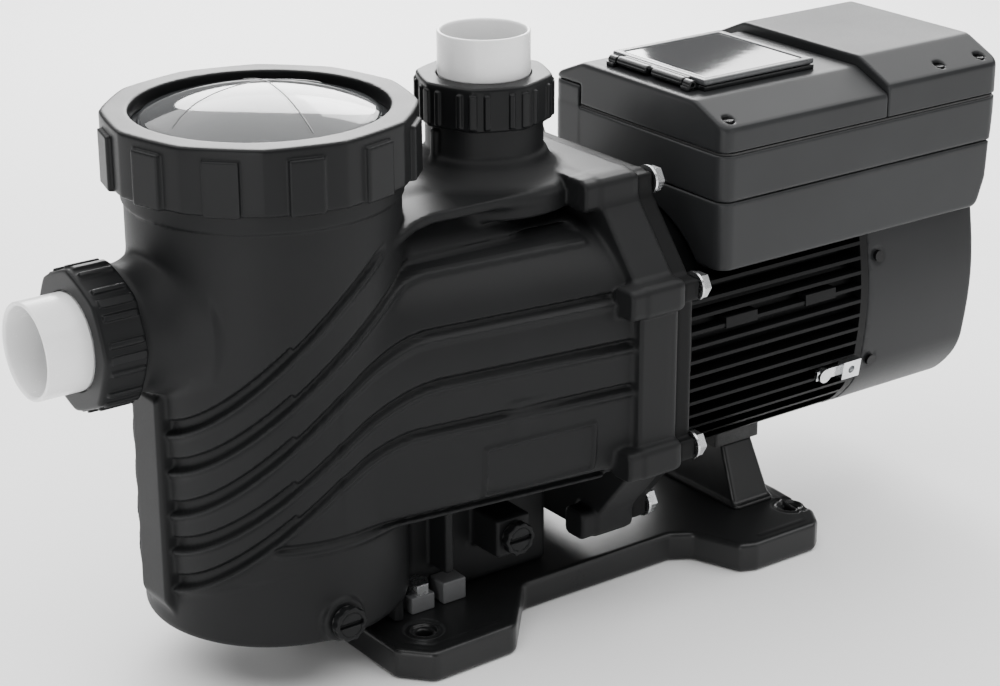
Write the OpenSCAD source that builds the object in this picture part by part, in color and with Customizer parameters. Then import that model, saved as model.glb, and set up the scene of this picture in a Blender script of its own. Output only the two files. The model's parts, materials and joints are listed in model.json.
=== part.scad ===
// Self-priming pool pump: strainer pot, wet end, finned motor and inverter controller on one base.
// +X runs along the shaft from the suction port to the motor, +Z is up, and the origin lies on
// the floor at the centre of the four mounting holes.

/* [Wet end] */
// Height of the shaft centre line above the floor
shaft_z = 175; // [174:0.5:177]
// Distance from the mounting centre back to the strainer pot's axis
pot_x = -228; // [-229:0.5:-227]
// Outer radius of the strainer pot
pot_r = 88.5; // [88:0.1:89.5]
// Height of the suction port's axis
suction_z = 250.5; // [248:0.5:253]
// Distance from the mounting centre to the discharge port's axis
discharge_x = -54; // [-56:0.5:-52]
// Outer diameter of the two solvent-weld tailpieces
tail_od = 63; // [62:0.5:63]
// Wall thickness of the tailpieces
tail_wall = 3; // [2.5:0.5:4]
// Radius over the corners of the union nuts
union_r = 47.9; // [46.5:0.1:49]
// Radius over the corners of the twelve-sided lid ring
ring_r = 102.3; // [101:0.1:104]
// Thickness of the dome of the clear lid
lid_wall = 4; // [3:0.5:5]

/* [Motor] */
// Half of the motor's width over its fins
motor_half = 93; // [92:0.5:94]
// Spacing of the cooling fins
fin_pitch = 10.9; // [10:0.1:11]
// Thickness of one cooling fin
fin_t = 2.6; // [2:0.1:3]
// Radius of the rotor
rotor_r = 38; // [34:0.5:38]

/* [Controller] */
// Half of the controller's width
box_half = 96; // [95:0.5:97]
// Height of the front cover's flat top
front_top_z = 342.6; // [341:0.1:343]
// How far the rear cover stands above the front cover
rear_step = 7; // [5:0.5:8]
// Width and length of the display flap
flap_size = 102; // [98:1:104]

/* [Base] */
// Thickness of the base plate
base_t = 22; // [20:1:24]
// Spacing of the mounting holes along the shaft
hole_dx = 330; // [328:1:332]
// Spacing of the mounting holes across the shaft
hole_dy = 164; // [158:1:168]
// Radius of the mounting holes
hole_r = 5.5; // [4:0.5:6]

/* [Hidden] */
$fn = 96;
eps = 0.05;

// Running gap between pieces that move past each other, and the fit of a turning shaft
gap = 0.4;
fit = 0.05;

// Strainer pot, from its bottom up
pot_wall = 6;
pot_in = pot_r - pot_wall;
pot_bottom = 38;
pot_chamfer = 10;
pot_shoulder = 322;
neck_r = 90;
mouth_r = 80;
ring_z0 = 334.7;
ring_z1 = 377.5;
neck_top = 362;
lid_z = neck_top + 0.3;
lid_flange_t = 4.4;
lip_z = lid_z + lid_flange_t + 0.3;
lip_r = 82.5;
dome_r = 81.5;
dome_rise = 14;

// Unions
tail_r = tail_od / 2;
tail_in = tail_r - tail_wall;
port_r = 40;
port_bore = tail_in;
nut_h = 30.4;
nut_lip = 4.5;
nut_back_x = -339;
tail_end_x = -400;
nut_base_z = 340.4;
tail_top_z = 399.7;
tail_flange_r = 39.2;
tail_flange_t = 6;
port_end = nut_h - nut_lip - tail_flange_t - 2 * 0.3 - 0.8;

// Flange between the wet end and the motor bracket
flange_x0 = -14;
flange_x1 = 19;
bracket_x1 = 34;
bolt_spots = [[117, 58], [66, 120]];
lobe_r = 11.5;
volute_r = 116;
volute_in = 100;
gallery_wall = 8;

// Motor, along the shaft
frame_x0 = 46;
cowl_x0 = 223;
cowl_x1 = 332;
barrel_r = 84;
stator_r = 80;
stack_x0 = 105;
stack_x1 = 180;
saddle_r = 86.5;
saddle_z = 225.5;
corner_r = 42;
shaft_end = 283;
bearing_r = 26;

// Bolts that hold the pot's feet to the base
foot_bolt_at = [-150.5, 52.5];
foot_bolt_r = 4;

// Controller, from the bottom up
box_x0 = 77;
box_x1 = 345;
box_z0 = 226;
mid_z = 276;
seam_z = 310;
gasket_t = 1.6;
cover_z0 = seam_z + gasket_t / 2;
housing_top = seam_z - gasket_t / 2;
side_top_z = 328;
flat_half = 61.6;
cover_split = 231;
cover_wall = 3;
flap_x0 = 97;
flap_z0 = 347.2;
flap_t = 3.6;
hinge_x = 91.5;
hinge_z = 346.8;
hinge_r = 3.4;
bezel_top = 346;
carrier_z0 = front_top_z - 3;

// ---------------------------------------------------------------- helpers

// Puts a flat outline drawn in the YZ plane, with the shaft at its centre, between two X positions
module along_x(x0, x1, z = shaft_z) {
    translate([x0, 0, z]) rotate([90, 0, 90]) linear_extrude(x1 - x0) children();
}

module rod_x(r, x0, x1, y = 0, z = shaft_z) {
    translate([x0, y, z]) rotate([0, 90, 0]) cylinder(r = r, h = x1 - x0);
}

module rod_y(r, y0, y1, x, z) {
    translate([x, y1, z]) rotate([90, 0, 0]) cylinder(r = r, h = y1 - y0);
}

module rod_z(r, z0, z1, x = 0, y = 0) {
    translate([x, y, z0]) cylinder(r = r, h = z1 - z0);
}

module box(x0, x1, y0, y1, z0, z1) {
    translate([x0, y0, z0]) cube([x1 - x0, y1 - y0, z1 - z0]);
}

module both_sides() {
    children();
    mirror([0, 1, 0]) children();
}

module oring(r, section) {
    rotate_extrude() translate([r, 0]) circle(r = section, $fn = 24);
}

// Points of one rounded corner b between a and c, with radius r
function unit(v) = v / norm(v);
function corner(a, b, c, r, n = 6) =
    let (u = unit(a - b), w = unit(c - b))
    let (half = acos(u * w) / 2)
    let (reach = r / tan(half), centre = b + unit(u + w) * r / sin(half))
    let (p = b + u * reach - centre, q = b + w * reach - centre)
    let (turn = atan2(p[0] * q[1] - p[1] * q[0], p * q))
    [for (i = [0:n]) let (t = turn * i / n)
        centre + [p[0] * cos(t) - p[1] * sin(t), p[0] * sin(t) + p[1] * cos(t)]];
// A closed outline whose corner i has radius r[i], or r everywhere
function rounded(pts, r) =
    [for (i = [0:len(pts) - 1])
        let (n = len(pts), ri = is_list(r) ? r[i] : r)
        each (ri > 0 ? corner(pts[(i + n - 1) % n], pts[i], pts[(i + 1) % n], ri) : [pts[i]])];
// An outline given for y >= 0 from rear to front, closed by its mirror image
function mirrored(half) =
    concat(half, [for (i = [len(half) - 1:-1:0]) [half[i][0], -half[i][1]]]);

// ---------------------------------------------------------------- wet end

// Octagonal flange with a lobe around each of its eight bolts
module flange_outline(grow = 0) {
    far = [for (s = bolt_spots) s * 1.03 + [grow, grow]];
    polygon([
        [far[0][0], far[0][1]], [far[1][0], far[1][1]], [-far[1][0], far[1][1]],
        [-far[0][0], far[0][1]], [-far[0][0], -far[0][1]], [-far[1][0], -far[1][1]],
        [far[1][0], -far[1][1]], [far[0][0], -far[0][1]]
    ]);
    at_flange_bolts() circle(r = lobe_r, $fn = 48);
}

module at_flange_bolts() {
    for (s = bolt_spots, sy = [-1, 1], sz = [-1, 1]) translate([sy * s[0], sz * s[1]]) children();
}

module body_outside() {
    rod_z(pot_r, pot_bottom + pot_chamfer, pot_shoulder, pot_x);
    translate([pot_x, 0, pot_bottom]) cylinder(r1 = pot_r - pot_chamfer, r2 = pot_r, h = pot_chamfer);
    rod_z(neck_r + 3, pot_shoulder - 4, ring_z0 - 0.8, pot_x);
    rod_z(neck_r, ring_z0 - 1, neck_top, pot_x);
    hull() {
        rod_z(pot_r - 1.5, 112, 288, pot_x, $fn = 48);
        rod_x(volute_r, -46, flange_x0 + 4, $fn = 48);
    }
    along_x(flange_x0, flange_x1) flange_outline();
    // Bosses that carry the bolt lobes back over the volute
    along_x(flange_x0 - 12, flange_x0 + 1) at_flange_bolts() circle(r = lobe_r - 1, $fn = 48);
    // Keel below the suction port
    hull() {
        box(pot_x - 96, pot_x - 60, -17, 17, 46, 203);
        box(pot_x - 84, pot_x - 60, -17, 17, 34, 210);
    }
    // Suction neck and discharge neck
    rod_x(port_r, nut_back_x - port_end, pot_x - 60, 0, suction_z);
    translate([nut_back_x + 1, 0, suction_z]) rotate([0, 90, 0]) cylinder(r1 = 44, r2 = 60, h = 50);
    rod_z(port_r, 240, nut_base_z + port_end, discharge_x);
    translate([discharge_x, 0, 280]) cylinder(r1 = 52, r2 = port_r, h = 24);
    // Foot under the pot and the volute
    box(-192, -34, -44, 44, base_t, 100);
    both_sides() {
        box(-174, -168, -60, -40, base_t, 84);
        box(-134, -128, -60, -40, 46, 84);
    }
    // Drain bosses
    rod_y(15, -pot_r - 3.5, -pot_in + 4, pot_x - 5, 54);
    box(-99, -69, -74, -30, 50, 80);
}

module body_hollows() {
    rod_z(pot_in, pot_bottom + 14, pot_shoulder - 10, pot_x);
    rod_z(pot_in - 8, pot_bottom + 8, pot_shoulder - 10, pot_x);
    rod_z(mouth_r, pot_shoulder - 11, neck_top + eps, pot_x);
    rod_x(port_bore, nut_back_x - port_end - 1, pot_x - 60, 0, suction_z);
    rod_x(30, pot_x + 60, -60);
    // Water space between the strainer and the volute, with walls to the pot and the discharge
    difference() {
        hull() {
            rod_z(pot_r - gallery_wall, 120, 280, pot_x, $fn = 48);
            rod_x(volute_r - gallery_wall, -76, -70, $fn = 48);
        }
        rod_z(pot_r, 100, 300, pot_x);
        rod_z(port_bore + gallery_wall, 100, 300, discharge_x);
    }
    box(-186, -40, -38, 38, base_t - 1, 40);
    rod_x(volute_in, -62, flange_x1 + eps);
    rod_z(port_bore, 240, nut_base_z + port_end + 1, discharge_x);
}

module pump_body() {
    color("#222426") difference() {
        body_outside();
        body_hollows();
        // Seal grooves in the mouth, in both ports and in the flange
        translate([pot_x, 0, neck_top - 3.4]) difference() {
            cylinder(r = 87, h = 4);
            translate([0, 0, -1]) cylinder(r = 82.6, h = 6);
        }
        translate([nut_back_x - port_end - eps, 0, suction_z]) rotate([0, 90, 0]) port_groove();
        translate([discharge_x, 0, nut_base_z + port_end + eps]) mirror([0, 0, 1]) port_groove();
        translate([flange_x1 - 4, 0, shaft_z]) rotate([0, 90, 0]) difference() {
            cylinder(r = 109, h = 5);
            translate([0, 0, -1]) cylinder(r = 104, h = 7);
        }
        along_x(flange_x0 - 10, flange_x1 + 1) at_flange_bolts() circle(r = 4.2, $fn = 32);
        rod_y(8, -pot_r - 10, -pot_in + 12, pot_x - 5, 54);
        rod_y(8, -80, -30, -84, 65);
        translate([-84, -34, 65]) rotate([-28, 0, 0]) cylinder(r = 6, h = 40);
    }
}

module port_groove() {
    difference() {
        cylinder(r = 36.4, h = 3.1);
        translate([0, 0, -1]) cylinder(r = 32.4, h = 5);
    }
}

// ---------------------------------------------------------------- strainer

basket_r = 75;
basket_z0 = 58;
basket_z1 = 322;

module strainer_basket() {
    slot_rows = 5;
    slots = 20;
    row_h = 42;
    color("#d9dde0") translate([pot_x, 0, 0]) difference() {
        union() {
            rod_z(basket_r, basket_z0, basket_z1);
            rod_z(basket_r + 3, basket_z1 - 6, basket_z1);
            for (s = [-1, 1]) rod_y(7, s * 72 - 3, s * 72 + 3, 0, basket_z1 + 3);
        }
        rod_z(basket_r - 3, basket_z0 + 3, basket_z1 - 5);
        rod_z(basket_r - 5, basket_z1 - 6, basket_z1 + 12);
        // Inlet window in front of the suction port
        rod_x(port_bore + 2, -basket_r - 5, -40, 0, suction_z);
        for (row = [0:slot_rows - 1], i = [0:slots - 1])
            rotate([0, 0, (i + 0.5) * 360 / slots])
                translate([basket_r - 12, -4, basket_z0 + 12 + row * (row_h + 6)])
                    cube([24, 8, row_h]);
        for (i = [0:7]) rotate([0, 0, i * 45]) translate([20, -3, basket_z0 - 1]) cube([40, 6, 6]);
        rod_y(2.2, -90, 90, 0, basket_z1 + 5);
    }
}

// Folding bail, lying on the rim at rest
module basket_handle() {
    reach = 40;
    color("#c9cdd0") translate([pot_x, 0, basket_z1 + 5]) {
        box(reach - 4, reach, -62, 62, -2, 2);
        both_sides() {
            box(-2, reach, -62, -58, -2, 2);
            rod_y(2, -71, -60, 0, 0);
        }
    }
}

// Domed clear lid: a flat flange and a spherical crown
module strainer_lid() {
    ball = (dome_r * dome_r + dome_rise * dome_rise) / (2 * dome_rise);
    top = lid_z + lid_flange_t;
    color([0.75, 0.82, 0.86, 0.45]) translate([pot_x, 0, 0]) difference() {
        union() {
            rod_z(89.4, lid_z, top);
            rod_z(dome_r, lid_z, ring_z1 - 5);
            intersection() {
                translate([0, 0, ring_z1 - 5 + dome_rise - ball]) sphere(r = ball, $fn = 128);
                rod_z(dome_r, ring_z1 - 5.1, ring_z1 + 20);
            }
        }
        intersection() {
            translate([0, 0, ring_z1 - 5 + dome_rise - ball - lid_wall]) sphere(r = ball, $fn = 128);
            rod_z(dome_r - lid_wall, lid_z - 1, ring_z1 + 20);
        }
    }
}

module lid_oring() {
    color("#101010") translate([pot_x, 0, lid_z - 1.6]) oring(84.8, 1.6);
}

// Twelve-sided lock ring with a grip pad on each face
module lid_lock_ring() {
    inner = ring_r * cos(15);
    color("#1d1f21") translate([pot_x, 0, 0]) difference() {
        union() {
            translate([0, 0, ring_z0]) cylinder(r = ring_r, h = ring_z1 - ring_z0, $fn = 12);
            for (i = [0:11]) rotate([0, 0, 15 + i * 30])
                translate([inner - 1, -11, ring_z0]) cube([4.2, 22, 33]);
        }
        rod_z(neck_r + gap, ring_z0 - 1, lip_z);
        rod_z(lip_r, lip_z - 1, ring_z1 + 1);
        translate([0, 0, ring_z1 - 7]) cylinder(r1 = lip_r, r2 = lip_r + 8, h = 7.01);
    }
}

// ---------------------------------------------------------------- unions
// Each is drawn standing on its port, with the nut's back face at z = 0

// The pipe is relieved inside the nut, so only its free end is full size
module tailpiece(length) {
    z0 = port_end + 0.3;
    difference() {
        union() {
            rod_z(tail_r - 1, z0, nut_h + 1);
            rod_z(tail_r, nut_h + 0.4, length);
            rod_z(tail_flange_r, z0, z0 + tail_flange_t);
        }
        rod_z(tail_in, z0 - 1, length + 1);
        translate([0, 0, length - 1.5]) cylinder(r1 = tail_in, r2 = tail_in + 1.2, h = 1.51);
    }
}

module union_oring() {
    translate([0, 0, port_end - 1.1]) oring(34.4, 1.4);
}

module union_nut() {
    difference() {
        union() {
            cylinder(r = union_r, h = nut_h, $fn = 8);
            for (i = [0:7], s = [-1, 1]) rotate([0, 0, i * 45 + 22.5])
                translate([union_r * cos(22.5) - 1, s * 8.4 - 3, 3]) cube([3.1, 6, nut_h - 7]);
        }
        rod_z(port_r + gap, -1, nut_h - nut_lip);
        rod_z(tail_r + gap, nut_h - nut_lip - 1, nut_h + 1);
    }
}

module on_suction() {
    translate([nut_back_x, 0, suction_z]) rotate([0, -90, 0]) children();
}

module on_discharge() {
    translate([discharge_x, 0, nut_base_z]) children();
}

module suction_tailpiece() { color("white") on_suction() tailpiece(nut_back_x - tail_end_x); }
module suction_oring() { color("#101010") on_suction() union_oring(); }
module suction_union_nut() { color("#1d1f21") on_suction() union_nut(); }
module discharge_tailpiece() { color("white") on_discharge() tailpiece(tail_top_z - nut_base_z); }
module discharge_oring() { color("#101010") on_discharge() union_oring(); }
module discharge_union_nut() { color("#1d1f21") on_discharge() union_nut(); }

// ---------------------------------------------------------------- drain plugs
// Drawn with the boss face at z = 0 and the head outwards

module drain_plug() {
    difference() {
        union() {
            rod_z(7.7, -12, 3.4);
            rod_z(12, 3.3, 8);
        }
        translate([-13, -1.6, 5.6]) cube([26, 3.2, 5]);
    }
}

module drain_oring() { translate([0, 0, 1.65]) oring(9.8, 1.35); }
module at_pot_drain() { translate([pot_x - 5, -pot_r - 3.5, 54]) rotate([90, 0, 0]) children(); }
module at_volute_drain() { translate([-84, -74, 65]) rotate([90, 0, 0]) children(); }

module strainer_drain_plug() { color("#17181a") at_pot_drain() drain_plug(); }
module strainer_drain_oring() { color("#0c0c0c") at_pot_drain() drain_oring(); }
module volute_drain_plug() { color("#17181a") at_volute_drain() drain_plug(); }
module volute_drain_oring() { color("#0c0c0c") at_volute_drain() drain_oring(); }

// ---------------------------------------------------------------- hydraulics

impeller_r = 68;

module diffuser() {
    vanes = 9;
    color("#3a3d40") union() {
        difference() {
            rod_x(94, -56, -51);
            rod_x(30, -57, -50);
        }
        difference() {
            rod_x(94, -52, -34);
            rod_x(90, -53, -33);
        }
        for (i = [0:vanes - 1]) translate([-52, 0, shaft_z]) rotate([i * 360 / vanes, 0, 0])
            translate([0, 73, -2]) rotate([-24, 0, 0]) cube([54.5, 17, 4]);
    }
}

module wear_ring() {
    color("#c8a24a") difference() {
        rod_x(30, -56, -46);
        rod_x(27 + gap, -57, -45);
    }
}

module impeller() {
    vanes = 6;
    color("#4b4f52") difference() {
        union() {
            rod_x(impeller_r, -32, -29);
            rod_x(27, -52, -30);
            rod_x(impeller_r, -12, -8);
            rod_x(15, -24, -2);
            for (i = [0:vanes - 1]) translate([-29.5, 0, shaft_z]) rotate([i * 360 / vanes, 0, 0])
                translate([0, 24, -14]) rotate([42, 0, 0]) cube([18, 40, 3]);
        }
        rod_x(23, -53, -28);
        rod_x(7, -25, 0);
    }
}

module impeller_nut() {
    color("#c7a85a") difference() {
        rod_x(9, -33, -24, $fn = 6);
        rod_x(5, -34, -23);
    }
}

module seal_plate() {
    color("#2c2f31") difference() {
        rod_x(volute_in - 0.2, 4, flange_x1);
        rod_x(20, 3, flange_x1 + 1);
    }
}

module body_oring() {
    color("#101010") translate([flange_x1 - 2.05, 0, shaft_z]) rotate([0, 90, 0]) oring(106.5, 1.9);
}

module seal_seat() {
    color("#e8e4da") difference() {
        rod_x(20, 10, 18);
        rod_x(10 + 1, 9, 19);
    }
}

// Spring-loaded turning half of the shaft seal
module seal_head() {
    color("#8d9093") difference() {
        union() {
            rod_x(16, 1, 9.7);
            rod_x(18, 1, 3.5);
        }
        rod_x(10, 0, 11);
    }
}

module motor_bracket() {
    color("#26292b") difference() {
        union() {
            along_x(flange_x1, bracket_x1) flange_outline(-2);
            rod_x(barrel_r, bracket_x1 - 1, frame_x0);
            rod_x(36, bracket_x1 - 1, 58);
            for (i = [0:7]) translate([0, 0, shaft_z]) rotate([i * 45, 0, 0])
                box(bracket_x1 - 1, frame_x0, -3, 3, barrel_r - 2, 104);
        }
        rod_x(14, flange_x1 - 1, 60);
        rod_x(bearing_r, 42, 60);
        along_x(flange_x1 - 1, bracket_x1 + 1) at_flange_bolts() circle(r = 4.2, $fn = 32);
        // Drain and cooling windows in the bearing barrel
        for (i = [0:3]) translate([0, 0, shaft_z]) rotate([i * 90 + 45, 0, 0])
            translate([37.5, 0, 60]) cube([5, 30, 26], center = true);
    }
}

module flange_bolts() {
    color("#c9ccce") {
        along_x(bracket_x1 + 1.6, bracket_x1 + 8.6) at_flange_bolts() circle(r = 9.2, $fn = 6);
        along_x(bracket_x1, bracket_x1 + 1.7) at_flange_bolts() circle(r = 10.4, $fn = 48);
        along_x(flange_x0 - 8, bracket_x1 + 1) at_flange_bolts() circle(r = 4, $fn = 32);
    }
}

// ---------------------------------------------------------------- motor

// Rounded square below the controller, closed by a round barrel above it
module motor_outline(inset = 0, round_r = barrel_r) {
    h = motor_half - inset;
    c = corner_r - inset;
    intersection() {
        polygon(rounded([[h, h], [-h, h], [-h, -h], [h, -h]], c));
        translate([-h - 1, -h - 1]) square([2 * h + 2, h + 1 + saddle_z - shaft_z]);
    }
    circle(r = round_r - inset);
}

module motor_frame() {
    color("#191b1c") difference() {
        union() {
            rod_x(barrel_r, frame_x0, cowl_x0);
            intersection() {
                along_x(frame_x0 + 4, cowl_x0) motor_outline();
                union() {
                    for (k = [-8:4])
                        box(frame_x0, cowl_x0 + 1, -motor_half - 1, motor_half + 1,
                            shaft_z + k * fin_pitch - fin_t / 2, shaft_z + k * fin_pitch + fin_t / 2);
                    box(cowl_x0 - 7, cowl_x0 + 1, -120, 120, 0, 300);
                    box(frame_x0 + 4, frame_x0 + 9, -120, 120, 0, 300);
                }
            }
            // Foot rail along the underside and two cast nameplate pads on a fin
            box(60, cowl_x0 - 6, -52, 52, shaft_z - motor_half - 1, shaft_z - motor_half + 14);
            both_sides() for (x = [86, 161])
                box(x, x + 29, -motor_half - 0.8, -motor_half + 8, 183.6, 191.4);
        }
        rod_x(stator_r, frame_x0 - 1, cowl_x0 + 1);
    }
}

module stator_core() {
    slots = 24;
    color("#6d6f71") difference() {
        rod_x(stator_r, stack_x0, stack_x1);
        rod_x(rotor_r + 0.6, stack_x0 - 1, stack_x1 + 1);
        for (i = [0:slots - 1]) translate([0, 0, shaft_z]) rotate([i * 360 / slots, 0, 0])
            box(stack_x0 - 1, stack_x1 + 1, -3, 3, rotor_r + 4, rotor_r + 24);
    }
}

module stator_windings() {
    color("#b8743a") for (x = [stack_x0 - 19, stack_x1]) difference() {
        rod_x(68, x, x + 19);
        rod_x(44, x - 1, x + 20);
    }
}

module rotor_core() {
    color("#9a9c9e") difference() {
        union() {
            rod_x(rotor_r, stack_x0, stack_x1);
            rod_x(rotor_r - 6, stack_x0 - 10, stack_x1 + 10);
        }
        rod_x(12, 84, 206);
    }
}

module motor_shaft() {
    color("#d2d4d6") {
        rod_x(5, -34, -23.9);
        rod_x(7, -24, 0.9);
        rod_x(10, 0.8, 60.1);
        rod_x(12, 60, 228);
        rod_x(10, 227.9, 250.1);
        rod_x(7, 250, shaft_end);
    }
}

module bearing(x0, x1) {
    difference() {
        rod_x(bearing_r, x0, x1);
        rod_x(10 + fit, x0 - 1, x1 + 1);
        for (x = [x0 - 1, x1 - 1.5]) difference() {
            rod_x(21, x, x + 2.5);
            rod_x(15, x - 1, x + 4);
        }
    }
}

module shaft_bearings() {
    color("#b9bcbf") for (x = [42, 231]) bearing(x, x + 15);
}

module rear_end_shield() {
    color("#232527") difference() {
        union() {
            rod_x(stator_r - 0.2, 218, cowl_x0);
            rod_x(barrel_r - 2.7, cowl_x0, cowl_x0 + 6);
            rod_x(32, 217.9, 247);
            for (i = [0:5]) translate([0, 0, shaft_z]) rotate([i * 60, 0, 0])
                box(cowl_x0 + 5, cowl_x0 + 14, -2, 2, 30, barrel_r - 4);
        }
        rod_x(14, 216, 248);
        rod_x(bearing_r, 231, 248);
    }
}

module cooling_fan() {
    blades = 9;
    color("#34373a") difference() {
        union() {
            rod_x(16, 252, 282);
            rod_x(66, 254, 257);
            for (i = [0:blades - 1]) translate([0, 0, shaft_z]) rotate([i * 360 / blades, 0, 0])
                box(256, 281, -1.5, 1.5, 14, 70);
        }
        rod_x(7, 251, 290);
    }
}

module fan_cowl() {
    wall = 2.5;
    color("#34373a") difference() {
        union() {
            along_x(cowl_x0, cowl_x1 - 6) motor_outline(-0.2, barrel_r);
            along_x(cowl_x1 - 6.1, cowl_x1) motor_outline(3, barrel_r);
        }
        along_x(cowl_x0 - 1, cowl_x1 - 8.5) motor_outline(wall, barrel_r);
        along_x(cowl_x1 - 8.6, cowl_x1 - wall) motor_outline(wall + 3, barrel_r);
        // Concentric air slots in the rear face, broken by four spokes
        difference() {
            union() {
                for (r = [24:10:74]) difference() {
                    rod_x(r + 5, cowl_x1 - 5, cowl_x1 + 1);
                    rod_x(r, cowl_x1 - 6, cowl_x1 + 2);
                }
            }
            for (i = [0:3]) translate([0, 0, shaft_z]) rotate([i * 45, 0, 0])
                box(cowl_x1 - 8, cowl_x1 + 2, -3, 3, -90, 90);
        }
        for (z = cowl_screw_z, s = [-1, 1]) rod_y(2.1, s * 90 - 8, s * 90 + 8, cowl_screw_x, z);
    }
}

cowl_screw_x = 233;
cowl_screw_z = [124, 206];

module cowl_screws() {
    color("#15171a") both_sides() for (z = cowl_screw_z) {
        rod_y(4.2, -motor_half - 2.4, -motor_half - 0.2, cowl_screw_x, z);
        rod_y(2, -motor_half - 1, -motor_half + 7, cowl_screw_x, z);
    }
}

// Earth terminal on the motor's side: a block, a clamp and its screw
module ground_lug() {
    y = -motor_half;
    color("#b9bcbf") difference() {
        union() {
            box(200, 217, y - 7, y - 0.1, 117, 131);
            box(178, 201, y - 3, y - 0.1, 120, 128);
            rod_y(5.5, y - 6, y - 0.1, 184, 124);
        }
        rod_y(3, y - 9, y - 2, 208.5, 124);
        rod_x(2.6, 214, 219, y - 3.6, 124);
    }
}

// ---------------------------------------------------------------- controller

// Outline of the box seen from above: rounded corners, and a rear edge that can be drawn in
module box_plan(inset = 0, rear = box_x1) {
    h = box_half - inset;
    polygon(rounded([[rear - inset, h], [box_x0 + inset, h], [box_x0 + inset, -h], [rear - inset, -h]],
        11 - inset / 2));
}

// Side view of the box: the rear face leans in and its lower corner is rounded
module box_side(inset = 0) {
    translate([0, 120, 0]) rotate([90, 0, 0]) linear_extrude(240)
        polygon(rounded([
            [box_x0 + inset, box_z0], [box_x1 - 17 - inset, box_z0], [box_x1 - 9 - inset, box_z0 + 22],
            [box_x1 - 7 - inset, mid_z], [box_x1 - inset, cover_z0], [box_x1 - inset, 400],
            [box_x0 + inset, 400]
        ], [0, 6, 6, 0, 0, 0, 0]));
}

module controller_base() {
    color("#2e3134") difference() {
        intersection() {
            translate([0, 0, box_z0]) linear_extrude(mid_z - box_z0) box_plan();
            box_side();
        }
        rod_x(saddle_r, box_x0 - 1, box_x1 + 1);
        // Tray for the heat sink, and a wiring channel along each side
        box(100, 318, -72, 72, 265, mid_z + 1);
        both_sides() box(84, 318, -90, -77, box_z0 + 6, mid_z + 1);
        for (x = gland_x) rod_y(gland_r, 85, box_half + 1, x, gland_z);
    }
}

gland_x = [115, 150];
gland_z = 252;
gland_r = 8;
gland_bore = 5;

// Two cable glands on the wall away from the drain plugs
module cable_glands() {
    color("#17181a") for (x = gland_x) difference() {
        union() {
            rod_y(gland_r, 88, box_half + 1, x, gland_z);
            rod_y(12, box_half, box_half + 6, x, gland_z, $fn = 6);
            rod_y(10, box_half + 5.9, box_half + 17, x, gland_z);
            rod_y(8, box_half + 16.9, box_half + 20, x, gland_z);
        }
        rod_y(gland_bore, 80, 130, x, gland_z);
    }
}

module far_corner_block(grow = 0) {
    translate([0, 0, housing_top - 1]) linear_extrude(17 + grow)
        polygon(rounded([[103 + grow, 63.5 - grow], [103 + grow, 120], [60, 120], [60, 63.5 - grow]],
            [4, 0, 0, 0]));
}

module controller_housing() {
    color("#2e3134") {
        difference() {
            intersection() {
                translate([0, 0, mid_z]) linear_extrude(housing_top - mid_z) box_plan();
                box_side();
            }
            translate([0, 0, mid_z - 1]) linear_extrude(60) box_plan(4, box_x1 - 9);
        }
        difference() {
            intersection() {
                far_corner_block();
                translate([0, 0, housing_top - 2]) linear_extrude(40) box_plan();
            }
            translate([0, 0, mid_z - 1]) linear_extrude(45) box_plan(4, box_x1 - 9);
            cover_screw_holes([1, 0, 0]);
        }
    }
}

module cover_gasket() {
    color("#0e0f10") difference() {
        translate([0, 0, housing_top]) linear_extrude(gasket_t) box_plan(1.2);
        translate([0, 0, housing_top - 1]) linear_extrude(gasket_t + 2) box_plan(4, box_x1 - 4);
        far_corner_block(0.1);
    }
}

// Cross-section of a cover: flat top, sloped shoulders and upright sides
module cover_section(top, edge, inset = 0) {
    h = box_half - inset;
    polygon([
        [-h, cover_z0 - 10], [h, cover_z0 - 10], [h, edge - inset], [flat_half, top - inset],
        [-flat_half, top - inset], [-h, edge - inset]
    ]);
}

module cover_half(x0, x1, top, edge) {
    difference() {
        intersection() {
            translate([0, 0, cover_z0]) linear_extrude(60) box_plan();
            along_x(x0, x1, 0) cover_section(top, edge);
        }
        intersection() {
            translate([0, 0, cover_z0 - 1]) linear_extrude(62) box_plan(cover_wall, box_x1);
            along_x(x0 + cover_wall, x1 - cover_wall, 0) cover_section(top, edge, cover_wall);
        }
        far_corner_block(0.15);
    }
}

module front_cover() {
    color("#33363a") difference() {
        cover_half(box_x0, cover_split, front_top_z, side_top_z);
        // Window for the display and its keypad
        box(110, 190, -40, 40, front_top_z - 5, front_top_z + 1);
        cover_screw_holes([1, 0, 0]);
    }
}

module rear_cover() {
    color("#33363a") difference() {
        cover_half(cover_split + 0.4, box_x1, front_top_z + rear_step, side_top_z + 6);
        cover_screw_holes([0, 1, 1]);
    }
}

screw_x = [89, 290, 331];
screw_y = 85;
screw_top = [332.6, 338.4, 338.4];

module cover_screw_holes(pick) {
    both_sides() for (i = [0:2]) if (pick[i] == 1) {
        rod_z(1.9, seam_z - 20, screw_top[i] + 20, screw_x[i], -screw_y);
        rod_z(4, screw_top[i] - 3.2, screw_top[i] + 20, screw_x[i], -screw_y);
    }
}

module cover_screws() {
    color("#0c0d0e") both_sides() for (i = [0:2]) {
        rod_z(3.7, screw_top[i] - 3.2, screw_top[i] - 0.6, screw_x[i], -screw_y);
        rod_z(1.7, screw_top[i] - 16, screw_top[i] - 3.1, screw_x[i], -screw_y);
    }
}

module heat_sink() {
    color("#a9adb0") {
        box(104, 314, -70, 70, 265, 269);
        for (y = [-66:12:66]) box(104, 314, y - 1.2, y + 1.2, 268.9, 284);
    }
}

module control_board() {
    color("#1f5c3a") box(96, 322, -78, 78, 287, 288.6);
}

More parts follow.
